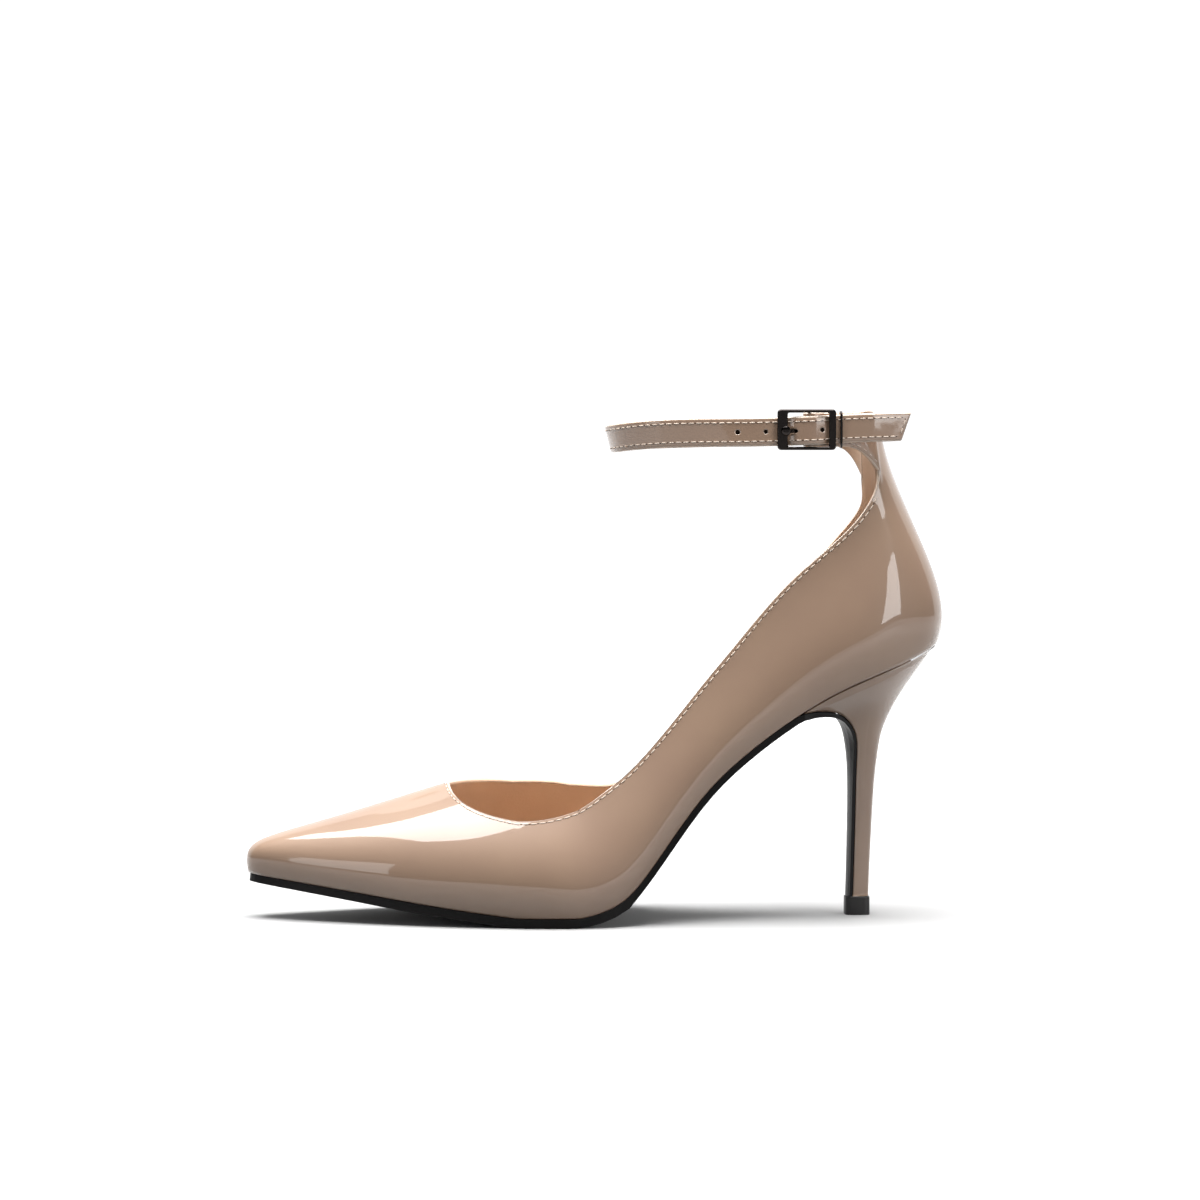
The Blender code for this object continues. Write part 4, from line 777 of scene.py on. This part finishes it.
outer_run = strap_line[int(np.argmin(strap_line[:, 0])):]
prong_hole = BAR_PLAN[0] - PRONG_HOLE_SHARE * PRONG_REACH
round_turn = np.arange(HOLE_STEPS) * 2.0 * math.pi / HOLE_STEPS
shapes = []
for pitches, wide in ((-1.0, 1.0), (0.0, HOLE_STRETCH), (1.0, 1.0), (2.0, 1.0)):
    x = prong_hole - pitches * HOLE_PITCH
    y, z = (float(np.interp(x, outer_run[:, 0], outer_run[:, k])) for k in (1, 2))
    outline = np.column_stack((x + wide * HOLE_WIDTH / 2.0 * np.cos(round_turn),
                               z + HOLE_WIDTH / 2.0 * np.sin(round_turn)))
    # The three unused holes stop short of the inner face, on a floor painted with this dark shade
    depth_in = PUNCH_REACH if wide > 1.0 else BLIND_HOLE_REACH * STRAP_THICKNESS
    shapes.append((outline.tolist(), y - PUNCH_REACH, y + depth_in))
punch(strap, shapes)
level = float(np.interp(BAR_PLAN[0] - PRONG_REACH / 2.0, outer_run[:, 0], outer_run[:, 2]))
slot_reach = CENTRE_BAR + PRONG_WIRE + TAB_THICKNESS
outline = [(BAR_PLAN[0] + i * slot_reach, level + j * SLOT_WIDTH / 2.0)
           for i, j in ((-1, -1), (1, -1), (1, 1), (-1, 1))]
punch(tab, [(outline, BAR_PLAN[1] - slot_reach, BAR_PLAN[1] + slot_reach)])

# Stitching: one row of cream thread round the folded topline and one along each edge of the
# strap and the tab. Each stitch is a short length of 0.42 mm thread between two needle holes.
THREAD = 0.00042
TOPLINE_PITCH = 0.0028
STRAP_PITCH = 0.0025
TOPLINE_INSET = 0.0013
BAND_INSET = 0.0009
ROW_START = 0.112
BACK_ROW_HALF = 0.060
TAB_ROW_END = 0.017
GRAIN_POWER = 2.6
thread, tree = new_material("cotton_thread")
# Waxed cotton: matt cream with a fine twist
place = add_node(tree, "TexCoord")
twist = add_node(tree, "TexNoise", {"Vector": place.outputs["Object"], "Scale": 3500.0, "Detail": 1.0})
relief = add_node(tree, "Bump", {"Height": twist.outputs["Fac"], "Distance": 0.0001, "Strength": 0.5})
cotton = add_node(tree, "BsdfPrincipled", {"Base Color": colour("E3D3C3"), "Roughness": 0.7,
                                           "Normal": relief.outputs["Normal"]})
add_node(tree, "OutputMaterial", {"Surface": cotton.outputs[0]})
hole_dark, tree = new_material("needle_hole")
# The shadowed, frayed inside of a needle hole
place = add_node(tree, "TexCoord")
fray = add_node(tree, "TexNoise", {"Vector": place.outputs["Object"], "Scale": 4000.0})
shade = add_node(tree, "ValToRGB", {"Fac": fray.outputs["Fac"]})
shade.color_ramp.elements[0].color = colour("3A2A20")
shade.color_ramp.elements[1].color = colour("5A4436")
depth = add_node(tree, "BsdfPrincipled", {"Base Color": shade.outputs["Color"], "Roughness": 0.9})
add_node(tree, "OutputMaterial", {"Surface": depth.outputs[0]})


def walk(points, normals, pitch, inset=0.0):
    """Even places along a line: points, directions and normals a pitch apart."""
    steps = np.linalg.norm(np.diff(points, axis=0), axis=1)
    walked = np.append(0.0, np.cumsum(steps))
    count = int((walked[-1] - 2.0 * inset) / pitch)
    at = inset + (np.arange(count) + 0.5) * (walked[-1] - 2.0 * inset) / count
    middle = np.stack([np.interp(at, walked, points[:, k]) for k in range(3)], axis=-1)
    ahead = np.stack([np.interp(at + pitch * 0.2, walked, points[:, k]) for k in range(3)], axis=-1)
    behind = np.stack([np.interp(at - pitch * 0.2, walked, points[:, k]) for k in range(3)], axis=-1)
    normal = unit(np.stack([np.interp(at, walked, normals[:, k]) for k in range(3)], axis=-1))
    return middle, unit(ahead - behind), normal


def pebbles(middle, along, normal, length, width, height, rings=7, sides=8):
    """One closed rounded grain at each place: rings of a superellipse along its length."""
    s = np.sin(np.linspace(-0.5, 0.5, rings) * math.pi)
    radius = (1.0 - np.abs(s) ** GRAIN_POWER) ** (1.0 / GRAIN_POWER)
    radius[[0, -1]] = 0.12
    turn = np.arange(sides) * 2.0 * math.pi / sides
    across = np.cross(normal, along)
    middle, along, across, normal = (v[:, None, None, :] for v in (middle, along, across, normal))
    points = (middle + (s * length / 2.0)[None, :, None, None] * along
              + (radius[:, None] * np.cos(turn))[None, :, :, None] * (width / 2.0) * across
              + (radius[:, None] * np.sin(turn))[None, :, :, None] * (height / 2.0) * normal)
    quads = ring_quads(rings, sides)
    caps = np.array([list(range(sides))[::-1], [(rings - 1) * sides + k for k in range(sides)]])
    return points.reshape(len(middle), -1, 3), quads, caps


def sew(name, rows, pitch):
    """All stitches of a piece: grains of thread and, between them, small dark needle holes."""
    points, faces, slots = [], [], []
    offset = 0
    for line, normals in rows:
        middle, along, normal = walk(line, normals, pitch, 0.3 * pitch)
        for kind, centre, length, width, height in (
                (0, middle + 0.05 * THREAD * normal, 0.74 * pitch, THREAD, THREAD),
                (1, middle + 0.5 * pitch * along, 0.24 * pitch, 0.75 * THREAD, 0.30 * THREAD)):
            grains, quads, caps = pebbles(centre, along, normal, length, width, height)
            size = grains.shape[1]
            base = offset + np.arange(len(grains))[:, None, None] * size
            faces += (quads[None] + base).reshape(-1, 4).tolist()
            faces += (caps[None] + base).reshape(-1, caps.shape[1]).tolist()
            slots += [kind] * (len(grains) * (len(quads) + len(caps)))
            points.append(grains.reshape(-1, 3))
            offset += len(grains) * size
    piece = make_piece(name, np.concatenate(points), faces, (thread, hole_dark), slots)
    recalculate(piece)
    return piece


def topline_row(inset):
    """The line on the wall an inset below its rim, with its normals."""
    near = wall_grid(ROUND_STEPS, np.array([0.995, 1.0]))
    speed = np.linalg.norm(near[1] - near[0], axis=1) / 0.005
    drop = inset / (speed * slope)
    rows = wall_grid(ROUND_STEPS, 1.0 - np.array([1.5, 1.0, 0.5])[:, None] * drop[None, :])
    return rows[1], grid_normals(rows)[1]


line, line_normals = topline_row(TOPLINE_INSET)
first, last = int(ROW_START * ROUND_STEPS), int((1.0 - ROW_START) * ROUND_STEPS)
front_row = (line[first:last], line_normals[first:last])
back_half = int(BACK_ROW_HALF * ROUND_STEPS)
back_places = np.arange(-back_half, back_half) % ROUND_STEPS
back_row = (line[back_places], line_normals[back_places])
sew("topline_stitches", (front_row, back_row), TOPLINE_PITCH)


def band_rows(outer, inner, inset, first, last):
    """Lines on a band's outer face, an inset from each edge, with the face's normals."""
    normals = unit(outer - inner)
    width = np.linalg.norm(outer[:, -1] - outer[:, 0], axis=1)
    rows = []
    for near, far in ((0, -1), (-1, 0)):
        share = (inset / width)[:, None]
        line = outer[:, near] + share * (outer[:, far] - outer[:, near])
        rows.append((line[first:last], normals[first:last, near]))
    return rows


strap_rows = band_rows(strap_outer, strap_inner, BAND_INSET, 4, -3)
end_line = strap_outer[-3, 1:-1]
strap_rows.append((end_line, unit(strap_outer - strap_inner)[-3, 1:-1]))
sew("strap_stitches", strap_rows, STRAP_PITCH)
tab_end = int(np.argmax(tab_outer[:, 0, 0] < -TAB_ROW_END))
sew("tab_stitches", band_rows(tab_outer, tab_inner, BAND_INSET, 4, tab_end), STRAP_PITCH)

# Outsole and top lift: black leather with a polished edge that turns down over the heel's
# breast, and a moulded black rubber wear piece pinned under the heel.
sole_black, tree = new_material("black_sole_leather")
place = add_node(tree, "TexCoord")
fibre = add_node(tree, "TexNoise", {"Vector": place.outputs["Object"], "Scale": 900.0, "Detail": 4.0})
relief = add_node(tree, "Bump", {"Height": fibre.outputs["Fac"], "Distance": 0.0001, "Strength": 0.2})
wax = add_node(tree, "MapRange", {"Value": fibre.outputs["Fac"], "To Min": 0.34, "To Max": 0.46})
stain = add_node(tree, "BsdfPrincipled", {"Base Color": colour("121111"), "Specular IOR Level": 0.12,
                                          "Roughness": wax.outputs["Result"],
                                          "Normal": relief.outputs["Normal"]})
add_node(tree, "OutputMaterial", {"Surface": stain.outputs[0]})
rubber, tree = new_material("black_lift_rubber")
place = add_node(tree, "TexCoord")
grit = add_node(tree, "TexNoise", {"Vector": place.outputs["Object"], "Scale": 2500.0, "Detail": 2.0})
relief = add_node(tree, "Bump", {"Height": grit.outputs["Fac"], "Distance": 0.0001, "Strength": 0.3})
compound = add_node(tree, "BsdfPrincipled", {"Base Color": colour("171616"), "Roughness": 0.5,
                                             "Normal": relief.outputs["Normal"]})
add_node(tree, "OutputMaterial", {"Surface": compound.outputs[0]})
for node_name, material in (("outsole", sole_black), ("top_lift", rubber)):
    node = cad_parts[node_name]
    node.data.materials.clear()
    node.data.materials.append(material)

# Buckle, prong and keeper: cast and formed metal, plated dark gunmetal and polished.
gunmetal, tree = new_material("gunmetal_plating")
place = add_node(tree, "TexCoord")
wear = add_node(tree, "TexNoise", {"Vector": place.outputs["Object"], "Scale": 700.0, "Detail": 3.0})
polish = add_node(tree, "MapRange", {"Value": wear.outputs["Fac"], "To Min": 0.12, "To Max": 0.24})
plating = add_node(tree, "BsdfPrincipled", {"Base Color": colour("302C2B"), "Metallic": 1.0,
                                            "Roughness": polish.outputs["Result"]})
add_node(tree, "OutputMaterial", {"Surface": plating.outputs[0]})
for node_name in ("buckle_frame", "buckle_prong", "keeper"):
    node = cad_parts[node_name]
    node.data.materials.clear()
    node.data.materials.append(gunmetal)
